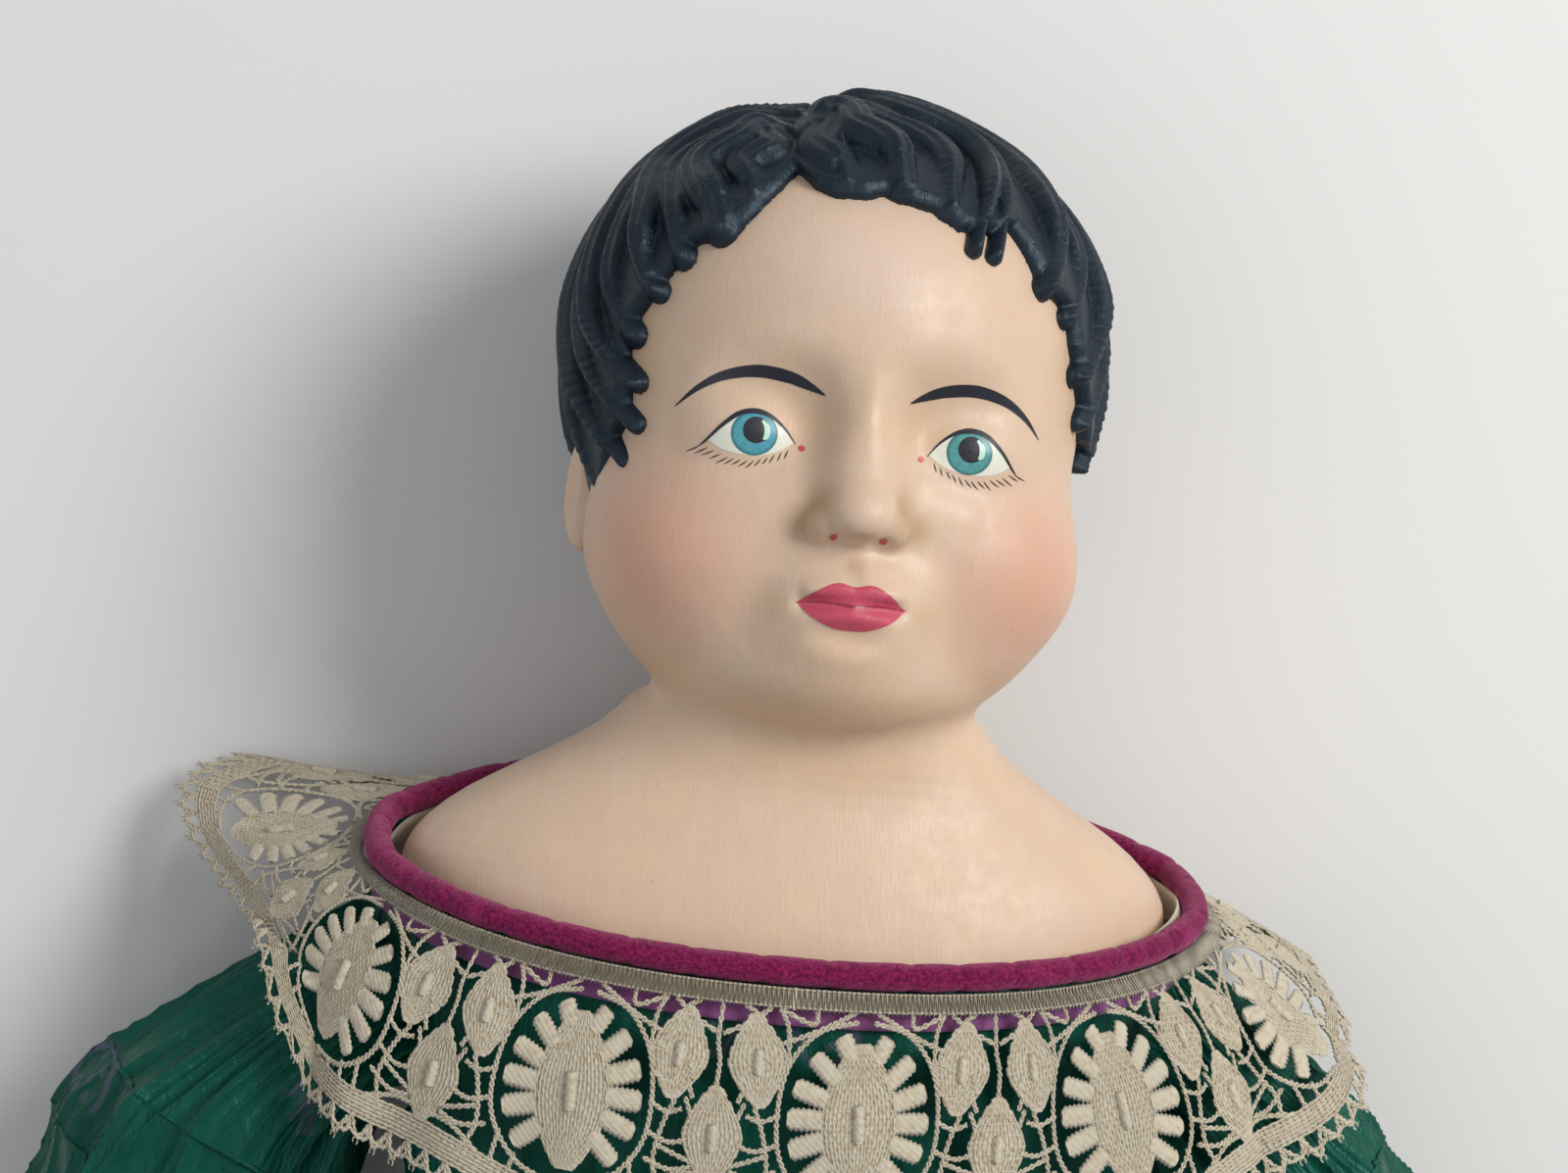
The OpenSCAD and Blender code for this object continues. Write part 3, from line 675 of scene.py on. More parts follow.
# Tips of the locks that hang past that edge, and how wide each is there.
LEFT_TIPS = [(-21.8, 22.4, 3.0), (-28.0, 29.2, 4.0), (-34.2, 34.4, 3.2), (-38.0, 41.0, 2.8),
             (-41.4, 49.0, 3.2), (-40.6, 57.6, 2.6), (-40.2, 65.2, 2.2), (-40.8, 71.4, 2.0),
             (-41.6, 79.0, 1.6)]
RIGHT_TIPS = [(-6.2, 19.0, 3.4), (3.4, 19.0, 3.6), (12.4, 21.8, 3.2), (17.4, 28.6, 1.9),
              (21.6, 29.2, 2.0), (32.4, 33.6, 3.0), (38.2, 38.2, 2.8), (41.6, 48.6, 3.0),
              (43.6, 56.8, 2.6), (46.8, 64.2, 2.2), (47.4, 71, 2.0), (47.2, 81.4, 1.6)]


def map_place(p):
    """Points (x, s, z) to the hair map."""
    d = p - HAIR_CENTRE
    flat = np.maximum(np.hypot(d[..., 0], d[..., 1]), 1e-6)
    away = np.degrees(np.arctan2(flat, d[..., 2]))
    return d[..., :2] * (away / flat)[..., None]


def map_front(x, s):
    """The map place of a point that the viewer sees at (x, s) on the front of the skull."""
    column = np.stack(np.broadcast_arrays(x, s, np.linspace(108, 46, 250)), -1)
    reached = np.flatnonzero(skull_distance(column) < 1.0)
    return map_place(column[reached[0] if len(reached) else -1])


def work_lock(start, end, half_width, tall, order):
    """Works one lock into the map, between two places given as (degrees round from the top, degrees
    away). Its root is 2.2 wide each way, and order shifts its waves and comb lines."""
    t = np.linspace(0, 1, 48)
    turn = np.radians(start[0] + (end[0] - start[0]) * t)
    bulge = min(0.10 * abs(end[0] - start[0]) + 2, 12)
    far = start[1] + (end[1] - start[1]) * t ** 2.0 + bulge * np.sin(math.pi * t ** 0.8)
    path = np.stack([far * np.sin(turn), -far * np.cos(turn)], 1)
    way = np.gradient(path, axis=0)
    way /= np.linalg.norm(way, axis=1, keepdims=True)
    across = np.stack([-way[:, 1], way[:, 0]], 1)
    path = path + across * (3.4 * np.sin(2 * math.pi * (1.6 * t + 0.17 * order))
                            * np.sin(math.pi * t))[:, None]
    step = np.gradient(path, axis=0)
    pace = np.linalg.norm(step, axis=1)
    way = step / pace[:, None]
    across = np.stack([-way[:, 1], way[:, 0]], 1)
    width = (2.2 + (half_width - 2.2) * t) * (1 + 1.1 * np.sin(math.pi * np.clip(t * 1.12, 0, 1)) ** 0.8)
    low = np.maximum(((path.min(0) - 12 + MAP_HALF) / MAP_STEP).astype(int), 0)
    high = np.minimum(((path.max(0) + 12 + MAP_HALF) / MAP_STEP).astype(int), len(hair_depth) - 1)
    x = (np.arange(low[0], high[0]) * MAP_STEP - MAP_HALF)[:, None, None]
    s = (np.arange(low[1], high[1]) * MAP_STEP - MAP_HALF)[None, :, None]
    dx, ds = x - path[:, 0], s - path[:, 1]
    near = (np.hypot(dx, ds) - width).argmin(-1)[..., None]
    side = np.take_along_axis(dx * across[:, 0] + ds * across[:, 1], near, -1)[..., 0]
    along = np.take_along_axis(dx * way[:, 0] + ds * way[:, 1], near, -1)[..., 0]
    near = near[..., 0]
    # a stretch of half a pace each way belongs to a sample, so that the lock has no beads
    inside = width[near] - np.hypot(side, np.maximum(np.abs(along) - pace[near] / 2, 0))
    share = np.clip(1 - inside / width[near], 0, 1)
    comb = 0.36 * np.cos(side * 2.0 + 1.2 * np.sin(near * 0.22 + order)) * np.clip(inside / 3, 0, 1)
    comb *= np.clip((112 - np.hypot(x, s)[..., 0]) / 24, 0, 1)
    fade = (0.5 + 0.5 * smoothstep(t[near], 0, 0.2)) * (0.5 + 0.5 * smoothstep(1 - t[near], 0, 0.2))
    height = tall * np.sqrt(1 - share ** 2.4) * fade + comb
    cells = (slice(low[0], high[0]), slice(low[1], high[1]))
    hair_depth[cells] = np.maximum(hair_depth[cells], inside * DEGREE)
    hair_rise[cells] = np.maximum(hair_rise[cells], np.where(inside > 0, height, 0))


cells = np.arange(int(2 * MAP_HALF / MAP_STEP) + 1) * MAP_STEP - MAP_HALF
map_x, map_s = np.meshgrid(cells, cells, indexing="ij")
edge = np.array([map_front(x, s) for x, s in EDGE])
edge_round = np.degrees(np.arctan2(edge[:, 0], -edge[:, 1]))
edge_away = np.hypot(edge[:, 0], edge[:, 1])
nape_round, nape_away = np.array(NAPE, float).T
edge_round = np.concatenate([-nape_round[::-1], edge_round, nape_round])
edge_away = np.concatenate([nape_away[::-1], edge_away, nape_away])
order = np.argsort(edge_round)
away = np.hypot(map_x, map_s)
hair_depth = DEGREE * (away - np.interp(np.degrees(np.arctan2(map_x, -map_s)), edge_round[order],
                                        edge_away[order]))
for side in (-1, 1):
    ear_x, ear_s = map_place(np.array([side * 45.6, 78.0, 47.0]))
    hair_depth = np.minimum(hair_depth, (np.hypot((map_x - ear_x) / 9, (map_s - ear_s) / 13.5) - 1) * 8)
hair_rise = np.full_like(map_x, 1.5)

# the parting runs back from its peak over the crown; locks leave it on both sides, front ones last
for side, tips in ((-1, LEFT_TIPS), (1, RIGHT_TIPS)):
    ends = []
    for x, s, w in tips:
        x, s = map_front(x, s)
        ends.append((math.degrees(math.atan2(x, -s)), math.hypot(x, s), w))
    ends += [(side * (133 + 5.6 * k), 97 + 3.4 * k, 4.2) for k in range(9)]
    for k in reversed(range(len(ends))):
        back = k / (len(ends) - 1)
        start = (-21 * (1 - back) ** 2 + side * 3, 53 + 90 * back)
        work_lock(start, ends[k][:2], ends[k][2], 4.1 + 1.5 * (k % 2), k + (side > 0) * 0.5)


def hair_distance(p):
    """Moulded hair: a cap with waved locks that end in rounded tips, and comb lines along them."""
    place = (np.clip(map_place(p), -MAP_HALF, MAP_HALF - MAP_STEP) + MAP_HALF) / MAP_STEP
    inside = between(hair_depth, place[..., 0], place[..., 1])
    rise = between(hair_rise, place[..., 0], place[..., 1])
    base = skull_distance(p)
    rim = np.sqrt(np.clip(inside / 2.2, 0, 1))
    thick = np.where(inside > 0, 0.4 + (0.9 + rise) * rim, -1.5)
    shell = np.maximum(np.maximum(base - thick, -1.6 - base), -(inside + 0.4))
    return np.maximum(shell, 0.1 - p[..., 2])


# ------------------------------------------------------------------ the head

bisque = bisque_material()
hair_paint = hair_material()

fine = 0.7
skin_points, skin_faces = surface_nets(skin_distance, (-84, -3, -4), (84, 183, 113), fine)
head = make_mesh("head_casting", skin_points, skin_faces, bisque)
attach(head, "torso")
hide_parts("shoulder_head")

fine = 0.6
hair_points, hair_faces = surface_nets(hair_distance, (-56, -5, -4), (56, 112, 112), fine)
hair = make_mesh("moulded_hair", hair_points, hair_faces, hair_paint)
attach(hair, "torso")


def on_skin(xs, lift):
    """Lifts flat (x, s) points straight onto the painted face, lift millimetres proud of it."""
    p = np.concatenate([xs, np.full(xs.shape[:-1] + (1,), 116.0)], -1)
    for _ in range(28):
        p[..., 2] -= skin_distance(p) * 0.9
    g = gradient(p, skin_distance)
    return p + lift * g / np.linalg.norm(g, axis=-1, keepdims=True)


def patch(pile, upper, lower, rows, lift):
    """A painted patch between two edges with the same number of points."""
    t = np.linspace(0, 1, rows)[:, None, None]
    flat = (1 - t) * upper + t * lower
    u = np.broadcast_to(np.linspace(0, 1, len(upper)), flat.shape[:2])
    v = np.broadcast_to(t[..., 0], flat.shape[:2])
    pile.add(on_skin(flat, lift), grid_faces(*flat.shape[:2]), np.stack([u, v], -1))


def stroke(pile, points, widths, lift, n=24, rows=4):
    """A brush stroke along a curve; its width runs through the given numbers."""
    line = spline(points, n)
    w = np.interp(np.linspace(0, 1, n), np.linspace(0, 1, len(widths)), widths) / 2
    along = np.gradient(line, axis=0)
    normal = np.stack([-along[:, 1], along[:, 0]], -1) / np.linalg.norm(along, axis=1)[:, None]
    patch(pile, line - normal * w[:, None], line + normal * w[:, None], rows, lift)


def disc(pile, centre, rx, ry, lift, rings=8, sides=48):
    """A round patch; its UV holds the distance from the middle and the angle."""
    r = np.linspace(0.02, 1, rings)[:, None]
    a = np.linspace(0, 2 * math.pi, sides + 1)
    flat = np.stack([centre[0] + rx * r * np.cos(a), centre[1] + ry * r * np.sin(a)], -1)
    uv = np.stack(np.broadcast_arrays(r, a / (2 * math.pi)), -1)
    pile.add(on_skin(flat, lift), grid_faces(rings, sides + 1), uv)


def painted(name, pile, material):
    obj = pile.mesh(name, material)
    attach(obj, "torso")
    return obj


def iris_material():
    """Turquoise iris: darker rim, paler brush marks running out from the pupil."""
    m = Nodes("iris_paint", (0.10, 0.45, 0.50), 0.3)
    split = m.node("ShaderNodeSeparateXYZ", {0: m.uv})
    rays = m.node("ShaderNodeTexNoise", {"Vector": m.scaled((0.9, 0.02, 1), m.uv), "Scale": 1.0,
                                         "Detail": 2.0}).outputs["Fac"]
    x = m.node("ShaderNodeSeparateXYZ", {0: m.where}).outputs[0]
    hue = m.mix(m.math("GREATER_THAN", x, 0.0), (0.060, 0.31, 0.40), (0.075, 0.29, 0.27))
    colour = m.mix(m.remap(rays, 0.35, 0.7, 0, 0.6), hue, (0.15, 0.45, 0.48))
    colour = m.mix(m.remap(split.outputs[0], 0.80, 1.0, 0, 0.75), colour, (0.020, 0.12, 0.14))
    m.set("Base Color", colour)
    return m.material


white_paint = paint_material("eye_white_paint", (0.80, 0.80, 0.68), 0.35, 0.05)
black_paint = paint_material("black_line_paint", (0.017, 0.018, 0.028), 0.42)
lash_paint = paint_material("lash_paint", (0.055, 0.030, 0.020), 0.5)
rose_paint = paint_material("lip_paint", (0.58, 0.075, 0.125), 0.5, 0.12)
deep_rose = paint_material("mouth_line_paint", (0.36, 0.022, 0.055), 0.35)
red_paint = paint_material("corner_dot_paint", (0.62, 0.09, 0.10), 0.4)
highlight_paint = paint_material("highlight_paint", (0.55, 0.80, 0.66), 0.3, 0.05)

whites, irises, blacks, lashes, lights, dots = (Pile() for _ in range(6))
for side in (-1, 1):
    ex, es = side * EYE[0], EYE[1]

    def eye(points):
        """Points given for the doll's left eye, from its inner corner outward."""
        return [(ex + side * px, es + ps) for px, ps in points]

    upper = [(-7.4, 1.0), (-5.4, -1.4), (-2.6, -3.4), (0.2, -4.0), (3.0, -3.3), (5.8, -1.0), (8.1, 1.7)]
    lower = [(-7.4, 1.0), (-5.0, 2.6), (-2.2, 3.6), (0.6, 3.9), (3.4, 3.7), (6.0, 3.0), (8.1, 1.7)]
    patch(whites, spline(eye(upper), 40), spline(eye(lower), 40), 14, 0.05)
    disc(irises, (ex, es - 0.05), 4.2, 3.95, 0.09)
    disc(blacks, (ex + 0.25, es - 0.65), 2.4, 2.35, 0.13, rings=5)
    lid = [(-7.6, 1.3)] + upper[1:-1] + [(8.4, 2.0), (9.4, 3.0)]
    stroke(blacks, eye(lid), (0.12, 0.5, 1.0, 0.85, 0.5, 0.10), 0.15, 40, 4)
    # the highlight is on the same side of both eyes, as the light is
    glint = spline([(1.4, -2.6), (2.6, -1.4), (2.7, 0.3), (2.1, 1.0)], 14)
    inner = spline([(1.1, -2.2), (1.6, -1.3), (1.7, 0.0), (1.5, 0.9)], 14)
    patch(lights, inner + np.array([ex, es]), glint + np.array([ex, es]), 4, 0.17)
    brow = [(-11.8, -7.9), (-9.2, -9.2), (-5.2, -10.6), (0.4, -11.2), (6.0, -10.0), (10.4, -7.4),
            (13.9, -3.9)]
    stroke(blacks, eye(brow), (0.25, 1.0, 1.8, 2.2, 2.2, 1.9, 1.4, 0.8, 0.15), 0.08, 60, 5)
    for k in range(11):
        t = k / 10
        x, s = -12.0 + 7.5 * t, -7.6 - 2.2 * t
        stroke(blacks, eye([(x, s), (x + 1.1, s - 0.7), (x + 2.3, s - 1.2)]), (0.05, 0.22, 0.05), 0.1, 6, 3)
    for k in range(14):
        t = k / 13
        x = -6.3 + 15.4 * t
        s = 2.4 + 2.3 * math.sin(math.pi * min(1, t * 1.04)) + 0.5 * t + rng.uniform(-0.12, 0.12)
        lean = 0.5 + 1.9 * t + rng.uniform(-0.15, 0.15)
        reach = 1.5 + rng.uniform(-0.25, 0.25) - 0.4 * t
        stroke(lashes, eye([(x, s), (x + lean * 0.5, s + reach * 0.55), (x + lean, s + reach)]),
               (0.1, 0.3, 0.08), 0.07, 6, 3)
    disc(dots, (side * 10.9, 67.9), 0.65, 0.55, 0.08, 3, 16)
    disc(dots, (side * 4.5, 83.3), 0.7, 0.55, 0.08, 3, 16)

painted("eye_whites", whites, white_paint)
painted("irises", irises, iris_material())
painted("pupils_lids_and_brows", blacks, black_paint)
painted("lashes", lashes, lash_paint)
painted("eye_highlights", lights, highlight_paint)
painted("red_dots", dots, red_paint)

lips, seam = Pile(), Pile()
top_lip = spline([(-9.9, 95.3), (-6.2, 92.7), (-3.1, 91.4), (0, 91.9), (3.1, 91.4), (6.2, 92.7),
                  (9.9, 95.3)], 60)
mouth_line = spline([(-9.9, 95.3), (-5, 94.9), (0, 95.3), (5, 94.9), (9.9, 95.3)], 60)
low_lip = spline([(-9.9, 95.3), (-7.4, 97.6), (-3.4, 99.3), (0, 99.6), (3.4, 99.3), (7.4, 97.6),
                  (9.9, 95.3)], 60)
patch(lips, top_lip, mouth_line, 16, 0.16)
patch(lips, mouth_line, low_lip, 18, 0.16)
stroke(seam, [(-10.0, 95.3), (-5, 94.9), (0, 95.3), (5, 94.9), (10.0, 95.3)], (0.1, 0.45, 0.6, 0.45, 0.1),
       0.22, 60)
painted("lips", lips, rose_paint)
painted("mouth_line", seam, deep_rose)


# ------------------------------------------------------------------ arms' own frame

# middle of a leg, across from the middle of the doll
LEG_X = 33.0
# shoulder seam of an arm, how far it spreads to the side, and how it slopes down to the floor
ARM = dict(x=79.0, s=172.0, z=46.0, spread=math.radians(25), slope=math.radians(10))


def arm_point(side, u, along, w):
    """A point in an arm's own frame, u across, along down the arm and w up, to (x, s, z)."""
    y = -along * math.cos(ARM["slope"]) - w * math.sin(ARM["slope"])
    z = -along * math.sin(ARM["slope"]) + w * math.cos(ARM["slope"])
    c, n = math.cos(side * ARM["spread"]), math.sin(side * ARM["spread"])
    x, s = side * ARM["x"] + u * c - y * n, ARM["s"] - (u * n + y * c)
    return np.stack(np.broadcast_arrays(x, s, ARM["z"] + z), -1)


def arm_local(p, side):
    """The other way: (u, along, w) of points (x, s, z)."""
    c, n = math.cos(side * ARM["spread"]), math.sin(side * ARM["spread"])
    x, y = p[..., 0] - side * ARM["x"], ARM["s"] - p[..., 1]
    u, y = x * c + y * n, -x * n + y * c
    z = p[..., 2] - ARM["z"]
    c, n = math.cos(ARM["slope"]), math.sin(ARM["slope"])
    return u, -(y * c + z * n), -y * n + z * c


# Sleeve along the arm: inner half width, outer half width, half depth. It is the CAD sleeve with its slack
# sagging against the body. The first row is the armhole, which the sleeve head is gathered into.
SLEEVE = np.array([
    [2, 22, 22, 23], [9, 21, 26, 27], [22, 19, 32, 31], [36, 25, 39, 34], [54, 31, 42, 34], [72, 30, 38, 31],
    [86, 23, 28, 26], [94, 16, 19, 19], [98.5, 15, 15, 15]
], float)


def sleeve_distance(p, side):
    u, along, w = arm_local(p, side)
    inner, outer, deep = columns(SLEEVE, along)
    across = np.where(u * side > 0, outer, inner)
    q = np.hypot(u / across, w / deep)
    d = (q - 1) * np.minimum(across, deep)
    return np.maximum(d, np.maximum(2 - along, along - 98.5))


# ------------------------------------------------------------------ garments close to the body

# The neckline is a tilted ring: down at its middle height, and how much further down it is at the front.
NECK_MID, NECK_TILT = 145.0, 17.0
WAIST = 262.0
# middle of the armholes, down and up
ARMHOLE = (176, 46)

silk = silk_material()
batiste = cotton_material("batiste", (0.72, 0.66, 0.52), 0.0004)
white_cotton = cotton_material("white_cotton", (0.76, 0.74, 0.68), 0.0005)
velvet = velvet_material()
thread = lace_material("ecru_thread", (0.64, 0.575, 0.44))
white_thread = lace_material("white_thread", (0.72, 0.69, 0.60))


def fold_noise(a, waves, seed):
    """Smooth periodic noise round a garment."""
    local = np.random.default_rng(seed)
    return sum(np.sin(k * a + local.uniform(0, 6.28)) * local.uniform(0.4, 1) for k in waves) / len(waves)


def crease(phase):
    """A cloth fold: round on top and sharp in the valley."""
    return 1 - 2 * np.abs(np.sin(phase / 2)) ** 0.7


def wrapped(from_mid, from_tilt, to_mid, to_tilt, off, rows, cols, shape):
    """A grid on the figure between two tilted rings, off millimetres clear of it."""
    a = turns(cols)
    v = np.linspace(0, 1, rows)[:, None]
    s = (1 - v) * (from_mid + from_tilt * np.sin(a)) + v * (to_mid + to_tilt * np.sin(a))
    a = np.broadcast_to(a, s.shape)
    return on_figure(s, a, off + shape(a, v, s), 0.6)


def cut_armholes(name, grid, thickness, material):
    """A wrapped garment with two round armholes: points inside a hole move out to its edge."""
    g = grid.copy()
    radius = 24
    dy, dz = g[..., 1] - ARMHOLE[0], g[..., 2] - ARMHOLE[1]
    d = np.hypot(dy, dz)
    hole = (d < radius) & (np.abs(g[..., 0]) > 50)
    f = np.where(hole, radius / np.maximum(d, 1e-6), 1)
    g[..., 1], g[..., 2] = ARMHOLE[0] + dy * f, ARMHOLE[1] + dz * f
    obj = cloth_tube(name, g, thickness, material)
    count = g.shape[0] * g.shape[1]
    inside = np.concatenate([hole.ravel(), hole.ravel()])
    kept = [tuple(p.vertices) for p in obj.data.polygons if not inside[list(p.vertices)].all()]
    points = [v.co.copy() for v in obj.data.vertices]
    edges = {}
    for f in kept:
        for i in range(len(f)):
            edges.setdefault(tuple(sorted((f[i], f[i - 1]))), []).append((f[i - 1], f[i]))
    rim = [e[0] for k, e in edges.items() if len(e) == 1 and k[0] < count and k[1] < count]
    kept += [(b, a, a + count, b + count) for a, b in rim]
    mesh = bpy.data.meshes.new(name)
    mesh.from_pydata(points, [], kept)
    mesh.polygons.foreach_set("use_smooth", np.ones(len(mesh.polygons), bool))
    mesh.materials.append(material)
    obj.data = mesh
    return obj


COLS = 420
chemise_angle = turns(COLS)
rows = np.linspace(0, 1, 70)[:, None]
# the chemise stands a little higher at the doll's left shoulder, where its edge shows
peep = sum(np.exp(-((chemise_angle - 0.35 - turn) / 0.42) ** 2) for turn in (0, 2 * math.pi))
top = NECK_MID + 3 + NECK_TILT * np.sin(chemise_angle) - 4.6 * peep
s = (1 - rows) * top + rows * (WAIST - 3)
ripple = 0.18 * crease(np.broadcast_to(chemise_angle * 44, s.shape)) * smoothstep(s, 165, 200)
chemise_grid = on_figure(s, np.broadcast_to(chemise_angle, s.shape), 1.75 + ripple, 0.6)
chemise = cut_armholes("chemise_cloth", chemise_grid, 0.5, batiste)
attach(chemise, "torso")
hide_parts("chemise")


def bodice_folds(a, v, s):
    """Crisp narrow folds that run down from the neckline and up from the waist."""
    drift = 0.25 * np.sin(v * 5 + 3 * np.sin(2 * a)) + 0.5 * fold_noise(a, (3, 5, 8), 3) * v
    narrow = crease((a + 0.05 * drift) * 58)
    broad = crease((a + 0.09 * drift) * 25)
    depth = 0.25 + 0.75 * smoothstep(s, 175, 205)
    return depth * (0.4 * (narrow + 1) + 0.75 * (broad + 1)) - 0.45


bodice_grid = wrapped(NECK_MID + 1.0, NECK_TILT, WAIST - 3, 0, 3.2, 120, COLS * 2, bodice_folds)
bodice = cut_armholes("bodice_silk", bodice_grid, 0.35, silk)
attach(bodice, "torso")
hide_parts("bodice")

# corded velvet piping, drawn in a little at each stitch
a = turns(700)
path = on_figure(NECK_MID + NECK_TILT * np.sin(a), a, 4.6)
length = run_length(path)
stitch = np.concatenate([[0], np.cumsum(rng.uniform(9, 16, 60))])
nearest = np.abs(length[:, None] - stitch).min(1)
radius = 2.62 * (1 - 0.10 * np.exp(-(nearest / 0.9) ** 2) + 0.025 * np.sin(length / 2.1)
                 * np.sin(length / 5.3))
piping = Pile()
piping.tube(path, radius, 22, closed=True, flat=0.97)
piping = piping.mesh("velvet_piping", velvet)
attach(piping, "torso")
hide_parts("neckline_piping")

lilac = cotton_material("lilac_facing", (0.30, 0.085, 0.27), 0.0005, 0.0004)
facing_grid = wrapped(NECK_MID + 4.0, NECK_TILT, NECK_MID + 9.8, NECK_TILT, 4.55, 8, COLS,
                      lambda a, v, s: 0.12 * np.sin(a * 70) * v)
facing = cloth_tube("facing_strip", facing_grid, 0.45, lilac)
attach(facing, "torso")
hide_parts("neckline_facing")


def band(name, node, material, down, height, off, thick):
    """A waistband: a doubled strip with a rolled edge and a row of stitches near each edge."""
    a = turns(COLS)
    profile = np.array([[0, -0.3], [0.5, 0], [1.4, 0.05], [1.7, -0.12], [2.0, 0.05], [height / 2, 0.08],
                        [height - 2.0, 0.05], [height - 1.7, -0.12], [height - 1.4, 0.05], [height - 0.5, 0],
                        [height, -0.3]])
    s = down + profile[:, 0][:, None] + 0 * a
    pucker = 0.07 * np.sin(a * 90)
    grid = on_figure(s, np.broadcast_to(a, s.shape), off + profile[:, 1][:, None] + pucker, 0.3)
    obj = cloth_tube(name, grid, thick, material)
    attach(obj, "torso")
    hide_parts(node)
    return obj


band("waistband_silk", "waistband", silk, WAIST - 6, 9, 5.5, 1.4)
band("petticoat_band", "petticoat_waistband", white_cotton, WAIST - 2, 8, 3.5, 1.2)
band("drawers_band", "drawers_waistband", white_cotton, WAIST + 8, 8, 1.8, 1.1)


# ------------------------------------------------------------------ the bobbin lace collar

LACE_DEPTH = 46.0
# Where the outer edge of the collar lies: angle round the neckline (0 at the doll's left shoulder, 90 at
# the chest), then (x, s, z). Left and right lie differently, as the doll was laid down.
LACE_EDGE = np.array([
    [-90, 0, 176, 3.5], [-60, 46, 168, 2.6], [-38, 84, 160, 2.4], [-20, 108, 156, 8],
    [-4, 119, 163, 26], [12, 116, 181, 50], [28, 102, 197, 69], [42, 83, 207, 82], [62, 46, 213, 92],
    [90, 0, 215, 94], [118, -46, 213, 92], [138, -76, 206, 83], [154, -90, 192, 74],
    [166, -96, 176, 60], [180, -108, 160, 34], [193, -119, 147, 14], [207, -119, 137, 4],
    [220, -104, 134, 2.4], [234, -74, 146, 2.4], [250, -36, 168, 2.6], [270, 0, 176, 3.5]
], float)


def lace_edge(a):
    """The outer edge, smoothed between the given places."""
    deg = (np.degrees(a) + 90) % 360 - 90
    table = np.concatenate([LACE_EDGE[-4:-1] - [360, 0, 0, 0], LACE_EDGE, LACE_EDGE[1:4] + [360, 0, 0, 0]])
    shifts = (-7, -2.5, 2.5, 7)
    return sum(np.stack(columns(table, deg + shift), -1) for shift in shifts) / len(shifts)


def clear_of(p, rounds=6):
    """Pushes cloth points out of the bodice, the sleeve heads and the floor."""
    fields = [(lambda q: figure_distance(q, -4.9), 0.0)]
    fields += [(lambda q, side=side: sleeve_distance(q, side), 1.2) for side in (-1, 1)]
    for _ in range(rounds):
        for field, gap in fields:
            short = np.maximum(gap - field(p), 0)
            g = gradient(p, field, 0.4)
            steep = np.maximum(np.linalg.norm(g, axis=-1, keepdims=True), 0.3)
            p = p + np.minimum(short, 3)[..., None] * g / steep
        p[..., 2] = np.maximum(p[..., 2], 1.4)
    return p


def collar_surface(na, nv):
    """The collar as it drapes, as na columns round by nv rows down, and the lengths along its middle."""
    a = np.linspace(-math.pi / 2, 1.5 * math.pi, na)
    v = np.linspace(0, 1, nv)[None, :, None]
    top = on_figure(NECK_MID + 2.8 + NECK_TILT * np.sin(a), a, 5.9, 1.4)[:, None]
    shoulder = np.abs(np.cos(a))[:, None] ** 2
    edge = lace_edge(a)[:, None]
    out = on_figure(NECK_MID + 7 + NECK_TILT * np.sin(a), a, 14 + 6 * shoulder[:, 0], 1.4)[:, None]
    p = (1 - v) ** 2 * top + 2 * v * (1 - v) * (out * 0.55 + (top + edge) * 0.225) + v ** 2 * edge
    flutter = shoulder * (v[..., 0] ** 1.5) * 2.2 * np.sin(a * 17 + 2 * np.sin(3 * a))[:, None]
    p[..., 2] += flutter + 0.5 * v[..., 0] * np.sin(a * 23)[:, None]
    p = clear_of(p)
    for _ in range(3):
        p[1:-1, 1:-1] = (p[:-2, 1:-1] + p[2:, 1:-1] + p[1:-1, :-2] + p[1:-1, 2:] + 2 * p[1:-1, 1:-1]) / 6
    p = clear_of(p, 2)
    p[0] = p[-1] = (p[0] + p[-1]) / 2
    # spread the rows evenly down the depth
    step = np.linalg.norm(np.diff(p, axis=1), axis=-1)
    run = np.concatenate([np.zeros((na, 1)), np.cumsum(step, 1)], 1)
    even = np.linspace(0, 1, nv)
    for i in range(na):
        t = run[i] / run[i, -1]
        p[i] = np.stack([np.interp(even, t, p[i, :, k]) for k in range(3)], -1)
    middle = p[:, int(nv * 0.55)]
    return p, run_length(middle)


surface, surface_u = collar_surface(721, 60)
surface_normal = grid_normals(surface)
if surface_normal[360, 30, 2] < 0:
    surface_normal = -surface_normal
LACE_LENGTH = surface_u[-1]
REPEATS = round(LACE_LENGTH / 55)
PITCH = LACE_LENGTH / REPEATS


def on_lace(flat):
    """Flat lace (u along, w down, h up) to its place on the draped collar."""
    flat = np.asarray(flat, float)
    u = flat[..., 0] % LACE_LENGTH
    i = np.interp(u, surface_u, np.arange(len(surface_u)))
    j = np.clip(flat[..., 1] / LACE_DEPTH, 0, 1.04) * (surface.shape[1] - 1)
    return between(surface, i, j) + between(surface_normal, i, j) * flat[..., 2:3]


def face_area(points, faces):
    """Area of quads."""
    corner = points[np.array([f for f in faces if len(f) == 4])]
    return 0.5 * np.linalg.norm(np.cross(corner[:, 2] - corner[:, 0], corner[:, 3] - corner[:, 1]),
                                axis=1).sum()


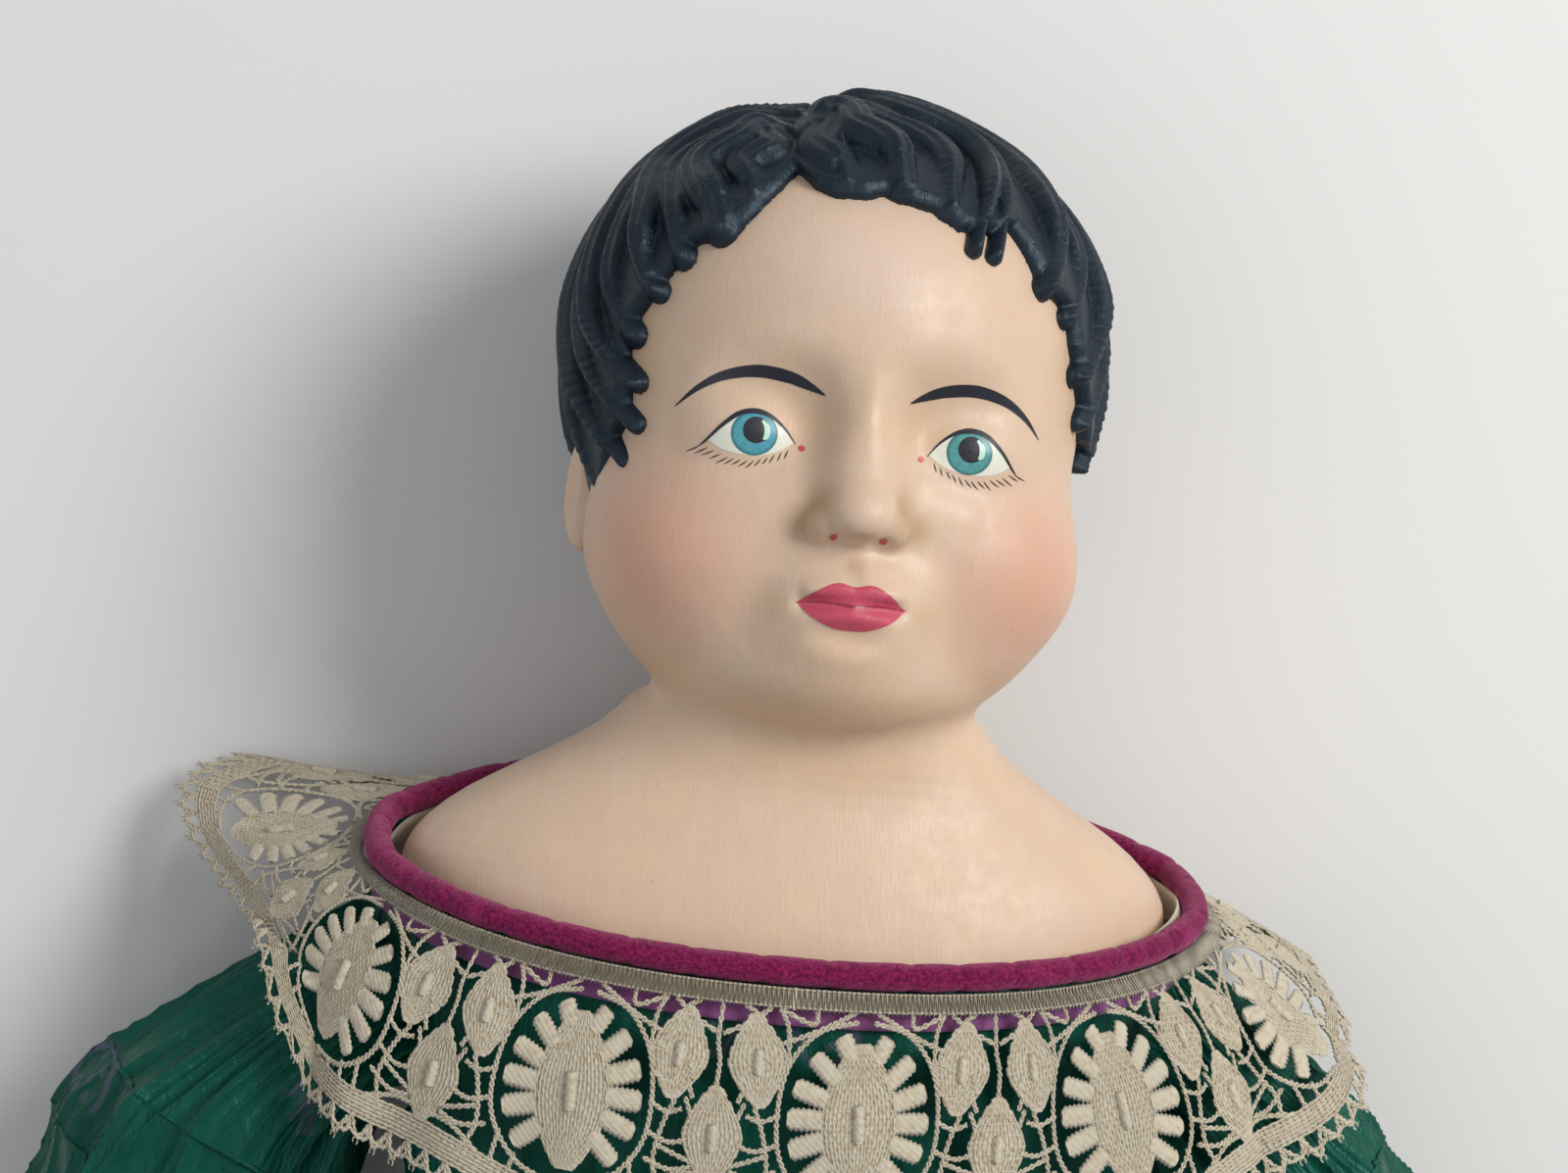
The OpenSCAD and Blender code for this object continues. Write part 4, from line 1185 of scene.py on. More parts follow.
class Lace:
    """Bobbin lace worked flat and then laid on the collar. The worked ground (cloth stitch and tallies) is
    one piece, and the threads and plaits that stand on it and join it are the other."""

    def __init__(self):
        self.threads, self.ground = [], []

    def thread(self, path, radius=0.27, sides=4):
        path = np.asarray(path, float)
        tube = tube_points(path, radius, sides, up=(0.02, 0.01, 1.0))
        self.threads.append((tube.reshape(-1, 3), grid_faces(len(path), sides, True)))

    def plate(self, upper, lower, rows):
        """A thin closed patch of ground between two edges."""
        low, high = 0.06, 0.3
        t = np.linspace(0, 1, rows)[:, None, None]
        flat = (1 - t) * np.asarray(upper)[None] + t * np.asarray(lower)[None]
        rows, cols = flat.shape[:2]
        count = rows * cols
        points = np.concatenate([np.concatenate([flat.reshape(-1, 2), np.full((count, 1), h)], 1)
                                 for h in (high, low)])
        face = grid_faces(rows, cols)
        rim = []
        loop = [(0, c) for c in range(cols)] + [(r, cols - 1) for r in range(1, rows)]
        loop += [(rows - 1, c) for c in range(cols - 2, -1, -1)] + [(r, 0) for r in range(rows - 2, 0, -1)]
        index = [r * cols + c for r, c in loop]
        for a, b in zip(index, index[1:] + index[:1]):
            rim.append([b, a, a + count, b + count])
        self.ground.append((points, np.concatenate([face, face[:, ::-1] + count, np.array(rim)])))

    def plait(self, points, radius=0.26, spread=0.34):
        """Two strands that cross every 1.15 mm along a curve."""
        rough = spline(points, 60)
        length = np.linalg.norm(np.diff(rough, axis=0), axis=1).sum()
        n = max(6, int(length / 0.62))
        line = spline(points, n)
        along = np.gradient(line, axis=0)
        normal = np.stack([-along[:, 1], along[:, 0]], -1) / np.linalg.norm(along, axis=1)[:, None]
        t = np.linspace(0, length / 2.3, n) * 2 * math.pi
        for shift in (0, math.pi):
            off = normal * (spread * np.sin(t + shift))[:, None]
            self.thread(np.concatenate([line + off, (0.3 + 0.2 * np.cos(t + shift))[:, None]], 1), radius)

    def cloth(self, centre, half, high, lean=0.0, threads=12, tip=0.25, power=2.0):
        """Cloth stitch in an oval: waved threads down it and a weft worked from side to side."""
        n = max(10, int(high * 2 / 0.9))
        t = np.linspace(-1, 1, n)
        width = half * (tip + (1 - tip) * np.clip(1 - np.abs(t) ** power, 0, 1))
        c, q = math.cos(lean), math.sin(lean)
        for k in range(threads):
            f = 2 * k / (threads - 1) - 1
            x = f * width + 0.13 * np.sin(t * n * 1.35 + k * math.pi) + 0.06 * np.sin(7 * t + k)
            y = t * high
            h = 0.34 + 0.10 * np.cos(t * n * 1.35 + k * math.pi)
            self.thread(np.stack([centre[0] + x * c - y * q, centre[1] + x * q + y * c, h], -1), 0.24)
        edge = np.stack([np.maximum(width - 0.1, 0.3), t * high], -1)
        turn = np.array([[c, q], [-q, c]])
        left, right = edge * [-1, 1] @ turn + centre, edge @ turn + centre
        self.plate(left, right, 5)
        rows = int(high * 2 / 0.95)
        path = []
        for r in range(rows):
            y = -high + (r + 0.5) * 2 * high / rows
            w = half * (tip + (1 - tip) * max(0, 1 - abs(y / high) ** power)) + 0.3
            ends = (-w, w) if r % 2 else (w, -w)
            for x in np.linspace(ends[0], ends[1], 6):
                path.append((centre[0] + x * c - y * q, centre[1] + x * q + y * c, 0.22))
        self.thread(path, 0.25)

    def tally(self, a, b, width, thick=0.55, leaf=0.25):
        """A small closely woven pad from a to b, with the weft's loops along its sides."""
        a, b = np.array(a, float), np.array(b, float)
        length = np.linalg.norm(b - a)
        axis = (b - a) / length
        side = np.array([-axis[1], axis[0]])
        n = max(8, int(length / 0.42))
        t = np.linspace(0, 1, n)
        w = width / 2 * (1 - leaf + leaf * np.sin(math.pi * t) ** 0.5)
        w = w * (1 + 0.09 * (-1.0) ** np.arange(n))
        w[0] = w[-1] = width * 0.3
        ribs = 0.05 * (-1.0) ** np.arange(n)
        rings = []
        section = ((-1, 0.3), (-0.55, 0.3 + thick * 0.75), (0, 0.3 + thick), (0.55, 0.3 + thick * 0.75),
                   (1, 0.3), (0.5, 0.05), (-0.5, 0.05))
        for f, h in section:
            p = a + np.outer(t, b - a) + np.outer(w * f, side)
            rings.append(np.concatenate([p, (h + ribs * (h > 0.3))[:, None]], 1))
        grid = np.stack(rings, 1)
        last = (n - 1) * 7
        caps = [[0, 1, 2, 3], [0, 3, 4, 5], [last + 3, last + 2, last + 1, last],
                [last + 5, last + 4, last + 3, last]]
        tips = [[0, 5, 6], [last + 6, last + 5, last]]
        self.ground.append((grid.reshape(-1, 3), grid_faces(n, 7, True).tolist() + caps + tips))

    def half(self, parts, side):
        """The parts on one side of the doll, laid on the collar, with the area they had when flat."""
        out, area = Pile(), 0.0
        for points, faces in parts:
            laid = on_lace(points)
            if (laid[:, 0].mean() >= 0) == (side > 0):
                out.add(laid, faces, points[:, :2] / 50)
                area += face_area(points, faces) / 2
        return out, area


def scallop(u):
    """Depth of the outer cloth trail at u from the middle of a flower."""
    return 37.9 + 2.0 * np.cos(2 * math.pi * u / PITCH)


def work_repeat(lace, u0):
    """One flower of the collar with the diamonds, plaits and picots beside it."""
    half = PITCH / 2
    centre = (u0, 21.5)
    # the flower: cloth stitch oval, a raised tally in it, leaf tallies round it, and a ring of plait
    lace.cloth(centre, 6.8, 13.0, 0.06, 19, 0.2, 1.9)
    lace.tally((u0 + 0.4, 18.4), (u0 - 0.3, 24.8), 2.5, 1.25, 0.1)
    for k, leaf in enumerate((-70, -45, -21, 0, 21, 45, 135, 159, 180, 201, 225, 250)):
        a = math.radians(leaf)
        c, q = math.cos(a), math.sin(a)
        start = (centre[0] + 6.3 * c, centre[1] + (10.8 if abs(q) > 0.85 else 9.0) * q)
        end = (centre[0] + 13.0 * c, centre[1] + 15.0 * q)
        lace.tally(start, end, 3.7 + 0.25 * math.sin(5 * k), 0.35, 0.12)
    dx = half - 7.2
    for sign in (-1, 1):
        def plait(*points):
            """A plait through points given as (distance from the flower's middle, depth)."""
            lace.plait([(u0 + sign * x, w) for x, w in points])

        # the ring, and plaits that cross from the heading to it
        plait((1.5, 5.0), (8.5, 7.0), (13.4, 13.0), (14.8, 21.5), (13.4, 29), (8.0, 35.0), (1.0, 37.2))
        plait((2, 3.4), (5.5, 5.2), (10.5, 7.6), (15.5, 9.6))
        plait((15.5, 3.4), (13.8, 6.8), (13.4, 13.0))
        plait((9.0, 3.4), (9.6, 5.8), (15.5, 3.5))
        # side links from the ring to the diamonds
        for w, reach in ((11, 3.2), (16, 4.5), (21, 6.0), (26, 7.5), (30.5, 8.5)):
            plait((14.3, w), (15 + reach * 0.45, w + 1.4), (14.4 + reach, w + 0.6))
        # diamonds of the valley, each with a tally
        lace.cloth((u0 + sign * dx, 12.4), 5.2, 7.8, sign * 0.14, 13, 0.12, 1.45)
        lace.tally((u0 + sign * dx, 10.4), (u0 + sign * (dx - 0.2), 14.6), 2.1, 1.1, 0.1)
        plait((dx - 2, 3.4), (dx, 5.0))
        plait((dx + 3, 3.4), (dx + 0.4, 5.4), (half - 0.5, 8.5))
        for w in (15.5, 18.6, 21.6):
            plait((dx + 1.8, w - 2), (half - 4.1, w + 1))
        plait((dx, 20.0), (dx - 2, 25), (dx - 3, 31), (dx - 1, 36))
        plait((dx - 2.8, 28), (dx + 1.4, 29.5), (half - 2.6, 30.5))
        plait((half - 2.0, 32.0), (dx + 1, 32.5), (dx - 4, 35.4))
        # spokes from the ring to the trail
        for x, w in ((1.6, 37.0), (5.0, 36.0), (8.4, 33.8), (11.8, 30.6)):
            plait((x, w), (x + 0.7, scallop(x) - 1.9))
    valley = (u0 + half, 25.6)
    lace.cloth(valley, 5.2, 8.4, 0.0, 13, 0.12, 1.45)
    lace.tally((valley[0], 23.4), (valley[0], 28.0), 2.1, 1.1, 0.1)
    lace.plait([(valley[0], 17.4), (valley[0] - 0.3, 13), (valley[0] + 0.3, 9.5), (valley[0], 3.4)])


def work_edges(lace, phase):
    """The heading tape, the outer trail of cloth stitch, and the pointed picots. The first flower stands
    phase repeats from the start of the lace."""

    def trail(u):
        return scallop(u - phase * PITCH)

    def level(u, w):
        return np.stack([u, w + 0 * u], -1)

    def zigzag(u, w, reach):
        return w + reach * (-1.0) ** np.arange(len(u))

    for k in range(REPEATS * 8):
        x = np.linspace(k, k + 1, 12) * PITCH / 8
        lace.plate(level(x, 0.2), level(x, 3.3), 3)
        lace.plate(level(x, trail(x) - 2.0), level(x, trail(x) + 2.0), 3)
    # the long threads are worked as two halves, one for each half of the collar
    for half in (0, 1):
        ends = (half * LACE_LENGTH / 2, (half + 1) * LACE_LENGTH / 2)
        u = np.linspace(*ends, int(LACE_LENGTH / 1.5))
        for k, w in enumerate((0.25, 3.2)):
            turn = u * 4.2 + k * math.pi
            lace.thread(np.stack([u, w + 0.07 * np.sin(turn), 0.34 + 0.06 * np.cos(turn)], -1), 0.25)
        u = np.linspace(*ends, int(LACE_LENGTH / 0.92))
        lace.thread(np.stack([u, zigzag(u, 1.75, 1.9), 0.6 + 0 * u], -1), 0.31)
        u = np.linspace(*ends, int(LACE_LENGTH / 1.8))
        for k in range(7):
            turn = u * 3.1 + k * math.pi
            off = -2.1 + 0.7 * k + 0.1 * np.sin(turn)
            lace.thread(np.stack([u, trail(u) + off, 0.34 + 0.1 * np.cos(turn)], -1), 0.24)
        u = np.linspace(*ends, int(LACE_LENGTH / 1.24))
        lace.thread(np.stack([u, zigzag(u, trail(u), 2.35), 0.24 + 0 * u], -1), 0.25)
    # leaves and picots outside the trail
    count = int(LACE_LENGTH / 3.9)
    for k in range(count):
        x = (k + 0.5) * LACE_LENGTH / count
        base = trail(x) + 2.2
        tip = base + 3.9 + 0.6 * math.sin(k * 2.4)
        sway = rng.uniform(-0.5, 0.5)
        middle = (base + tip) / 2
        lace.plait([(x - 1.9, base), (x - 1.1 + sway, middle), (x + sway, tip), (x + 1.1 + sway, middle),
                    (x + 1.9, base)], 0.25, 0.3)
        leaf = ((-1.9, 0), (-2.0, 2.4), (-0.9, 3.1), (0.9, 2.9), (2.0, 2.2))
        lace.plait([(x + px, base + pw) for px, pw in leaf], 0.23, 0.26)
        for sign in (-1, 1):
            lace.thread([(x + sway, tip - 0.3, 0.3), (x + sway + sign * 0.5, tip + 0.5, 0.35),
                         (x + sway + sign * 0.35, tip + 1.1, 0.3)], 0.15, 3)
            lace.thread([(x + sign * 1.2 + sway, middle, 0.3),
                         (x + sign * 2.0 + sway, middle + 0.7, 0.3)], 0.14, 3)


# share of a repeat by which the first flower stands off the middle of the back
LACE_PHASE = 0.75
collar = Lace()
work_edges(collar, LACE_PHASE)
for k in range(REPEATS):
    work_repeat(collar, (k + LACE_PHASE) * PITCH)

for side, name in ((1, "left"), (-1, "right")):
    ground, ground_area = collar.half(collar.ground, side)
    threads, _ = collar.half(collar.threads, side)
    ground = ground.mesh(f"collar_lace_{name}", thread)
    threads = threads.mesh(f"collar_threads_{name}", thread)
    for obj in (ground, threads):
        start, end = to_world((side * 64, 172, 46)), to_world((side * 100, 172, 46))
        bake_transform(obj)
    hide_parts("lace_collar")


# The velvet bands of the sleeves measure 7 mm along their height, so their declared length is this floor
# and not their own; their declared area is measured.
LEAST_SIDE = 10.1


def sheet_of(grid):
    """Works out a garment's cut, as wide as its longest row and as long as its columns, and returns nothing.
    """
    ring = np.concatenate([grid, grid[:, :1]], 1)
    rows = np.linalg.norm(np.diff(ring, axis=1), axis=-1).sum(1)
    length = np.linalg.norm(np.diff(grid, axis=0), axis=-1).sum(0).mean()
    width, length = rows.max(), max(length, LEAST_SIDE)


def fold_depth(t, head=0.10, foot=0.10):
    """How deep folds are along a gathered cloth: 0 at its stitched ends."""
    return smoothstep(t, 0, head) * smoothstep(1 - t, 0, foot)


# ------------------------------------------------------------------ sleeves

def sleeve_grid(side, rows, cols):
    local = np.random.default_rng(11 if side > 0 else 12)
    th = turns(cols)
    t = np.linspace(0, 1, rows)[:, None]
    along = 5 + 93.5 * t ** 0.92
    inner, outer, deep = columns(SLEEVE, along)
    c, n = np.cos(th), np.sin(th)
    across = inner + (outer - inner) * smoothstep(c, -0.35, 0.35)
    u, w = side * c * across, n * deep
    tube = arm_point(side, u, along + 0 * th, w)
    # the head is gathered into the armhole of the bodice
    hole_s, hole_z = ARMHOLE[0] - 23.6 * c, ARMHOLE[1] + 23.6 * n
    half, back, front = columns(FIGURE, hole_s)
    flat = np.clip(np.abs(hole_z - (front + back) / 2) / ((front - back) / 2), 0, 0.99)
    hole = np.stack([side * (half * (1 - flat ** SQUARED) ** (1 / SQUARED) + 3.3), hole_s, hole_z], -1)
    b = smoothstep(t, 0, 0.24)[..., None] ** 0.8
    grid = hole * (1 - b) + tube * b
    # folds fan out from the head: sharp pleats that join into broad soft ones, and narrow again at the band
    wander = sum(np.sin(k * th + local.uniform(0, 6.28) + 1.6 * t * local.uniform(-1, 1)) * 0.5
                 for k in (2, 3, 5))
    pleat = crease(46 * th + 2.2 * wander + 1.4 * np.sin(4 * t + 2 * th))
    broad = crease(15 * th + 4.2 * wander + 3.4 * np.sin(2.6 * t + th))
    slack = crease(7 * th + 3.4 * wander + 4.2 * t)
    ends = np.maximum(np.exp(-t / 0.16), np.exp(-(1 - t) / 0.13))
    depth = fold_depth(t, 0.05, 0.03)
    sag = np.sin(t * 21 + 3 * wander + 2 * np.cos(3 * th)) * np.sin(5 * th + 4 * t)
    fine = 0.18 + 1.1 * ends
    push = depth * (fine * (pleat - 1) + 2.3 * (1 - 0.6 * ends) * (broad - 1) + 2.0 * (slack - 1) + 1.1 * sag)
    grid = grid + outward_normals(grid, grid - grid.mean(1, keepdims=True)) * push[..., None]
    grid[..., 2] = np.maximum(grid[..., 2], 0.7 + 0.3 * pleat)
    return grid


for side, name in ((1, "left"), (-1, "right")):
    grid = sleeve_grid(side, 230, 620)
    sleeve = cloth_tube(f"{name}_sleeve_silk", grid, 0.35, silk)
    to_world(arm_point(side, 0, -2, 0))
    to_world(arm_point(side, 0, 24, 0))
    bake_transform(sleeve)
    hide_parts(f"{name}_sleeve")
    sheet_of(grid)

    # velvet band over the gathers, with a pucker at each stitch
    th = turns(200)
    profile = np.array([[98.2, 14.6], [98.5, 15.3], [99.3, 15.55], [101.2, 15.6], [103.1, 15.55],
                        [103.9, 15.3], [104.2, 14.6]])
    r = profile[:, 1][:, None] + 0.12 * np.sin(th * 34) + 0.05 * np.sin(th * 13)
    band_grid = arm_point(side, r * np.cos(th), profile[:, 0][:, None] + 0 * th, r * np.sin(th))
    band_obj = cloth_tube(f"{name}_sleeve_velvet", band_grid, 1.0, velvet)
    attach(band_obj, f"{name}_arm")
    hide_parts(f"{name}_sleeve_band")
    sheet_of(band_grid)


# ------------------------------------------------------------------ narrow lace edgings

def edging(name, grid, material, repeat):
    """A narrow worked edging on a closed band of cloth: a fan of tallies and plaits in each repeat.
    Returns its ground, its threads, its flat size and the flat area of its ground."""
    middle = grid[len(grid) // 2]
    length = run_length(np.concatenate([middle, middle[:1]]))[-1]
    depth = np.linalg.norm(np.diff(grid, axis=0), axis=-1).sum(0).mean()
    count = max(4, round(length / repeat))
    pitch = length / count
    normal = outward_normals(grid, grid - grid.mean(axis=(0, 1)))
    rows, cols = grid.shape[:2]

    def lay(flat):
        row = np.clip(flat[..., 1] / depth, 0, 1) * (rows - 1)
        col = flat[..., 0] % length / length * cols
        return between(grid, row, col, True) + between(normal, row, col, True) * flat[..., 2:3]

    lace = Lace()
    top = 2.2
    for k in range(count * 2):
        x = np.linspace(k, k + 1, 6) * pitch / 2
        lace.plate(np.stack([x, 0.1 + 0 * x], -1), np.stack([x, top + 0 * x], -1), 2)
        trail = depth - 3.4 - 0.9 * np.cos(2 * math.pi * x / pitch)
        lace.plate(np.stack([x, trail - 1.1], -1), np.stack([x, trail + 1.1], -1), 2)
    for w in (0.3, 1.2, 2.1):
        u = np.linspace(0, length, int(length / 1.1))
        lace.thread(np.stack([u, w + 0 * u, 0.4 + 0.05 * np.sin(u * 5)], -1), 0.24, 3)
    u = np.linspace(0, length, int(length / 0.8))
    lace.thread(np.stack([u, 1.2 + 1.1 * (-1.0) ** np.arange(len(u)), 0.45 + 0 * u], -1), 0.2, 3)
    for w in (-0.8, 0.0, 0.8):
        trail = depth - 3.4 - 0.9 * np.cos(2 * math.pi * u / pitch)
        lace.thread(np.stack([u, trail + w, 0.4 + 0 * u], -1), 0.24, 3)
    for k in range(count):
        x = (k + 0.5) * pitch
        low = depth - 5.4
        for f in (-0.62, -0.22, 0.22, 0.62):
            lace.tally((x + f * 1.6, top + 0.5), (x + f * pitch * 0.52, low), pitch * 0.115, 0.4)
        for sign in (-1, 1):
            lace.plait([(x, top), (x + sign * pitch * 0.32, (top + low) / 2),
                        (x + sign * pitch * 0.5, low + 0.6)], radius=0.22, spread=0.25)
        for f in (-0.36, -0.12, 0.12, 0.36):
            base = depth - 2.3 - 0.9 * math.cos(2 * math.pi * (0.5 + f))
            lace.thread([(x + f * pitch - 1.0, base, 0.3), (x + f * pitch, min(base + 2.0, depth), 0.35),
                         (x + f * pitch + 1.0, base, 0.3)], 0.24, 3)
    out = []
    for parts in (lace.ground, lace.threads):
        pile, area = Pile(), 0.0
        for points, faces in parts:
            pile.add(lay(points), faces, points[:, :2] / 50)
            area += face_area(points, faces) / 2
        out.append((pile.mesh(name if not out else name + "_threads", material), area))
    return out[0][0], out[1][0], (length * MM, depth * MM), out[0][1] * MM * MM


for side, name in ((1, "left"), (-1, "right")):
    th = turns(240)
    v = np.linspace(0, 1, 14)[:, None]
    r = 14.9 + 4.2 * v ** 1.3 + 1.3 * v * np.sin(th * 13)
    cuff = arm_point(side, r * np.cos(th), 104.3 + 16.2 * v + 0 * th, r * np.sin(th))
    made = edging(f"{name}_cuff_lace", cuff, thread, 9.5)
    for obj in made[:2]:
        to_world(arm_point(side, 0, 108, 0))
        to_world(arm_point(side, 0, 121, 0))
        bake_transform(obj)
    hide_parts(f"{name}_sleeve_lace")


# ------------------------------------------------------------------ skirts

# down, half width, height
SKIRT = np.array([
    [266, 60.5, 86], [278, 70, 93], [302, 82, 97], [340, 104, 98], [400, 123, 97], [470, 138, 95],
    [535, 145, 93], [575, 148, 92]
], float)
# height of the skirt's side edges, and the power of its arch
SIDE_Z, ARCH = 12, 0.72


def skirt_section(a, s, inset, low):
    """The section of the skirt where it lies: an arch over the legs, and flat at the low height below."""
    half, high = (column - inset for column in columns(SKIRT, s))
    n = np.sin(a)
    up = SIDE_Z + (high - SIDE_Z) * np.abs(n) ** ARCH
    down = SIDE_Z + (low - SIDE_Z) * np.minimum(1, -n * 2.2)
    return np.stack([half * rounded(np.cos(a), ARCH), s, np.where(n > 0, up, down)], -1)


def skirt_grid(top, hem, waist_off, inset, low, rows, cols, folds, low_push=-3.6):
    """A skirt as it lies: gathered on the waist, arched over the legs and flat on the floor behind."""
    a = turns(cols)
    t = np.linspace(0, 1, rows)[:, None] ** 1.15
    s = top + (hem - top) * t + 0 * a
    lay = smoothstep((s - top) / 60)[..., None]
    n = np.sin(a)
    lying = skirt_section(a, s, inset, low)
    waist = on_figure(s, np.broadcast_to(a, s.shape), waist_off, low)
    grid = waist * (1 - lay) + lying * lay
    normal = outward_normals(grid, grid - np.array([0, 0, 45.0]) - [0, 1, 0] * grid)
    push = folds(a, t) * (1 - 0.85 * smoothstep(-n, 0.1, 0.5) * lay[..., 0])
    grid = grid + normal * np.clip(push, low_push, 6)[..., None]
    grid[..., 2] = np.maximum(grid[..., 2], low + 0.25 * (1 + np.sin(a * 37)))
    return grid


def gathers(seed, narrow, broad, deep, rise=0.0):
    """Folds of a gathered skirt: tight at the waist, and joining into fewer and deeper ones below."""
    def folds(a, t):
        wander = 0.6 * fold_noise(a, (2, 3, 5, 7), seed) + 0.25 * np.sin(3 * t + 2 * a) * t
        tight = crease(a * narrow + 6 * wander)
        loose = crease(a * broad + 3.4 * wander + 1.2 * t)
        big = crease(a * broad / 2 + 2.2 * wander - 0.8 * t)
        top = np.exp(-t / 0.10)
        grow = smoothstep(t, 0.02, 0.55)
        gathered = (0.25 + 0.9 * top) * (tight - 1) * (1 - 0.75 * grow)
        return gathered + deep * grow * (loose * 0.6 + big * 0.45 - rise)
    return folds


skirt_rows, skirt_cols = ((220, 900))
grid = skirt_grid(WAIST + 4, 575, 5.6, 0.6, 0.3, skirt_rows, skirt_cols, gathers(21, 74, 30, 4.2, -0.15))
skirt = cloth_tube("skirt_silk", grid, 0.4, silk)
HIP_FROM, HIP_TO = to_world((0, 300, 42)), to_world((0, 372, 42))
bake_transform(skirt)
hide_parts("skirt")
sheet_of(grid)

grid = skirt_grid(WAIST + 7, 548, 3.7, 5.2, 2.6, skirt_rows - 30, skirt_cols - 80,
                  gathers(22, 60, 26, 1.4, 1.05), -4)
petticoat = cloth_tube("petticoat_cloth", grid, 0.5, white_cotton)
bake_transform(petticoat)
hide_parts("petticoat")
sheet_of(grid)

a = turns(500)
edging_low = 2.8
grid = skirt_section(a, np.linspace(547.2, 561, 12)[:, None] + 0 * a, 6.6, edging_low)
wave = crease(a * 30 + 2 * fold_noise(a, (2, 3, 5), 22)) - 1
grid = grid + outward_normals(grid, grid - grid.mean(axis=(0, 1))) * wave[None, :, None]
grid[..., 2] = np.maximum(grid[..., 2], edging_low)
made = edging("petticoat_edging", grid, white_thread, 14.0)
for obj in made[:2]:
    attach(obj, "skirts")
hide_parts("petticoat_lace")


# ------------------------------------------------------------------ drawers

# the stuffed body and a leg of the drawers: down, half width, back, front
TORSO = np.array([
    [138, 40, 26, 70], [146, 56, 20, 76], [156, 60, 17, 79], [170, 60, 16, 81], [186, 60, 15, 81],
    [205, 60, 14, 81], [230, 57, 13, 78], [262, 52, 11, 73], [288, 58, 6, 77], [302, 58, 11, 67],
    [338, 53, 41, 43]
], float)
DRAWERS = np.array([
    [350, 27, 15, 62], [374, 29, 8, 69], [400, 29.5, 6, 69], [430, 29, 5, 65], [500, 26, 4, 55],
    [573, 23, 4, 49], [591, 24, 3.6, 48]
], float)


def table_ring(table, s, a, off, x0=0.0):
    """Points round a body given as a table of [down, half width, back, front]."""
    half, back, front = columns(table, s)
    x = x0 + (half + off) * rounded(np.cos(a), 2 / SQUARED)
    z = (back + front) / 2 + ((front - back) / 2 + off) * rounded(np.sin(a), 2 / SQUARED)
    return np.stack(np.broadcast_arrays(x, s, z), -1)


a = turns(300)
s = np.linspace(278.6, 334, 60)[:, None] + 0 * a
ripple = 0.4 * crease(a * 52) * np.exp(-(s - 278) / 14)
grid = table_ring(TORSO, s, a, 1.3 + ripple)
seat = cloth_tube("drawers_seat_cloth", grid, 0.45, white_cotton)
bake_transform(seat)
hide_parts("drawers_seat")
sheet_of(grid)

for side, name in ((1, "left"), (-1, "right")):
    x0 = side * LEG_X
    a = turns(260)
    t = np.linspace(0, 1, 130)[:, None]
    s = 352 + 221 * t + 0 * a
    wander = fold_noise(a, (2, 3, 4), 31 + side)
    tucks = 0.45 * sum(np.exp(-((s - k) / 1.1) ** 2) for k in (543, 549, 555, 561))
    fold = 1.3 * (crease(a * 11 + 2 * wander + 2 * t) - 1) * smoothstep(t, 0, 0.15)
    fold = fold + 0.3 * (crease(a * 40) - 1) * np.exp(-(1 - t) / 0.04)
    grid = table_ring(DRAWERS, s, a, -0.2 + fold + tucks, x0)
    grid[..., 2] = np.maximum(grid[..., 2], 2.6)
    leg = cloth_tube(f"{name}_drawers_cloth", grid, 0.5, white_cotton)
    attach(leg, f"{name}_leg")
    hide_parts(f"{name}_drawers_leg")
    sheet_of(grid)
    s = np.linspace(573, 590.6, 12)[:, None] + 0 * a
    grid = table_ring(DRAWERS, s, a, -0.2 + 0.8 * np.sin(a * 15) * np.linspace(0, 1, 12)[:, None], x0)
    made = edging(f"{name}_drawers_edging", grid, white_thread, 11.0)
    for obj in made[:2]:
        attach(obj, f"{name}_leg")
    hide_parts(f"{name}_drawers_lace")


# ------------------------------------------------------------------ painted limbs

# along the arm, half width, half depth
FOREARM = np.array([
    [130, 11, 11], [133, 11, 11], [135, 9.6, 9.6], [139, 9.6, 9.6], [141, 11, 11], [152, 11.5, 11],
    [174, 10, 9.5], [198, 7.6, 6.8], [206, 8.3, 6.2], [214, 10.2, 6.0], [222, 11.2, 5.6],
    [229, 10.4, 4.8]
], float)
# fingers in the arm's own frame: start (u, along, w), end, radii; the thumb is last
FINGERS = [
    ((-8.2, 222, 0.6), (-9.2, 239, -1.2), 3.1, 2.3), ((-2.9, 224, 1.0), (-3.3, 245, -1.4), 3.3, 2.5),
    ((2.9, 224, 1.0), (3.1, 247, -1.3), 3.3, 2.5), ((8.2, 221, 0.8), (9.0, 241, -1.0), 3.2, 2.4),
    ((9.0, 209, 0.5), (15.0, 226, 0.2), 3.7, 2.9)
]


def forearm_distance(q):
    """A forearm in its own frame: a round arm with a tie groove, a slim wrist and a small hand."""
    half, deep = columns(FOREARM, q[..., 1])
    d = (np.hypot(q[..., 0] / half, q[..., 2] / deep) - 1) * np.minimum(half, deep)
    d = np.maximum(d, np.maximum(130 - q[..., 1], q[..., 1] - 229))
    for a, b, ra, rb in FINGERS[:4]:
        d = blend_min(d, capsule(q, a, b, ra, rb), 1.1)
    a, b, ra, rb = FINGERS[4]
    d = blend_min(d, capsule(q, a, b, ra, rb), 4)
    for a, b, ra, rb in FINGERS:
        tip = np.array(b) + np.array([0, 0.6, 1.9])
        d = blend_max(d, -ellipsoid(q, tip, (1.5, 2.2, 0.55)), 0.5)
    palm = ellipsoid(q, (0, 216, -8.4), (7, 11, 3.4))
    d = blend_max(d, -palm, 3)
    return d


limb_step = 0.7
forearm_points, forearm_faces = surface_nets(forearm_distance, (-16, 127, -14), (21, 252, 14), limb_step)


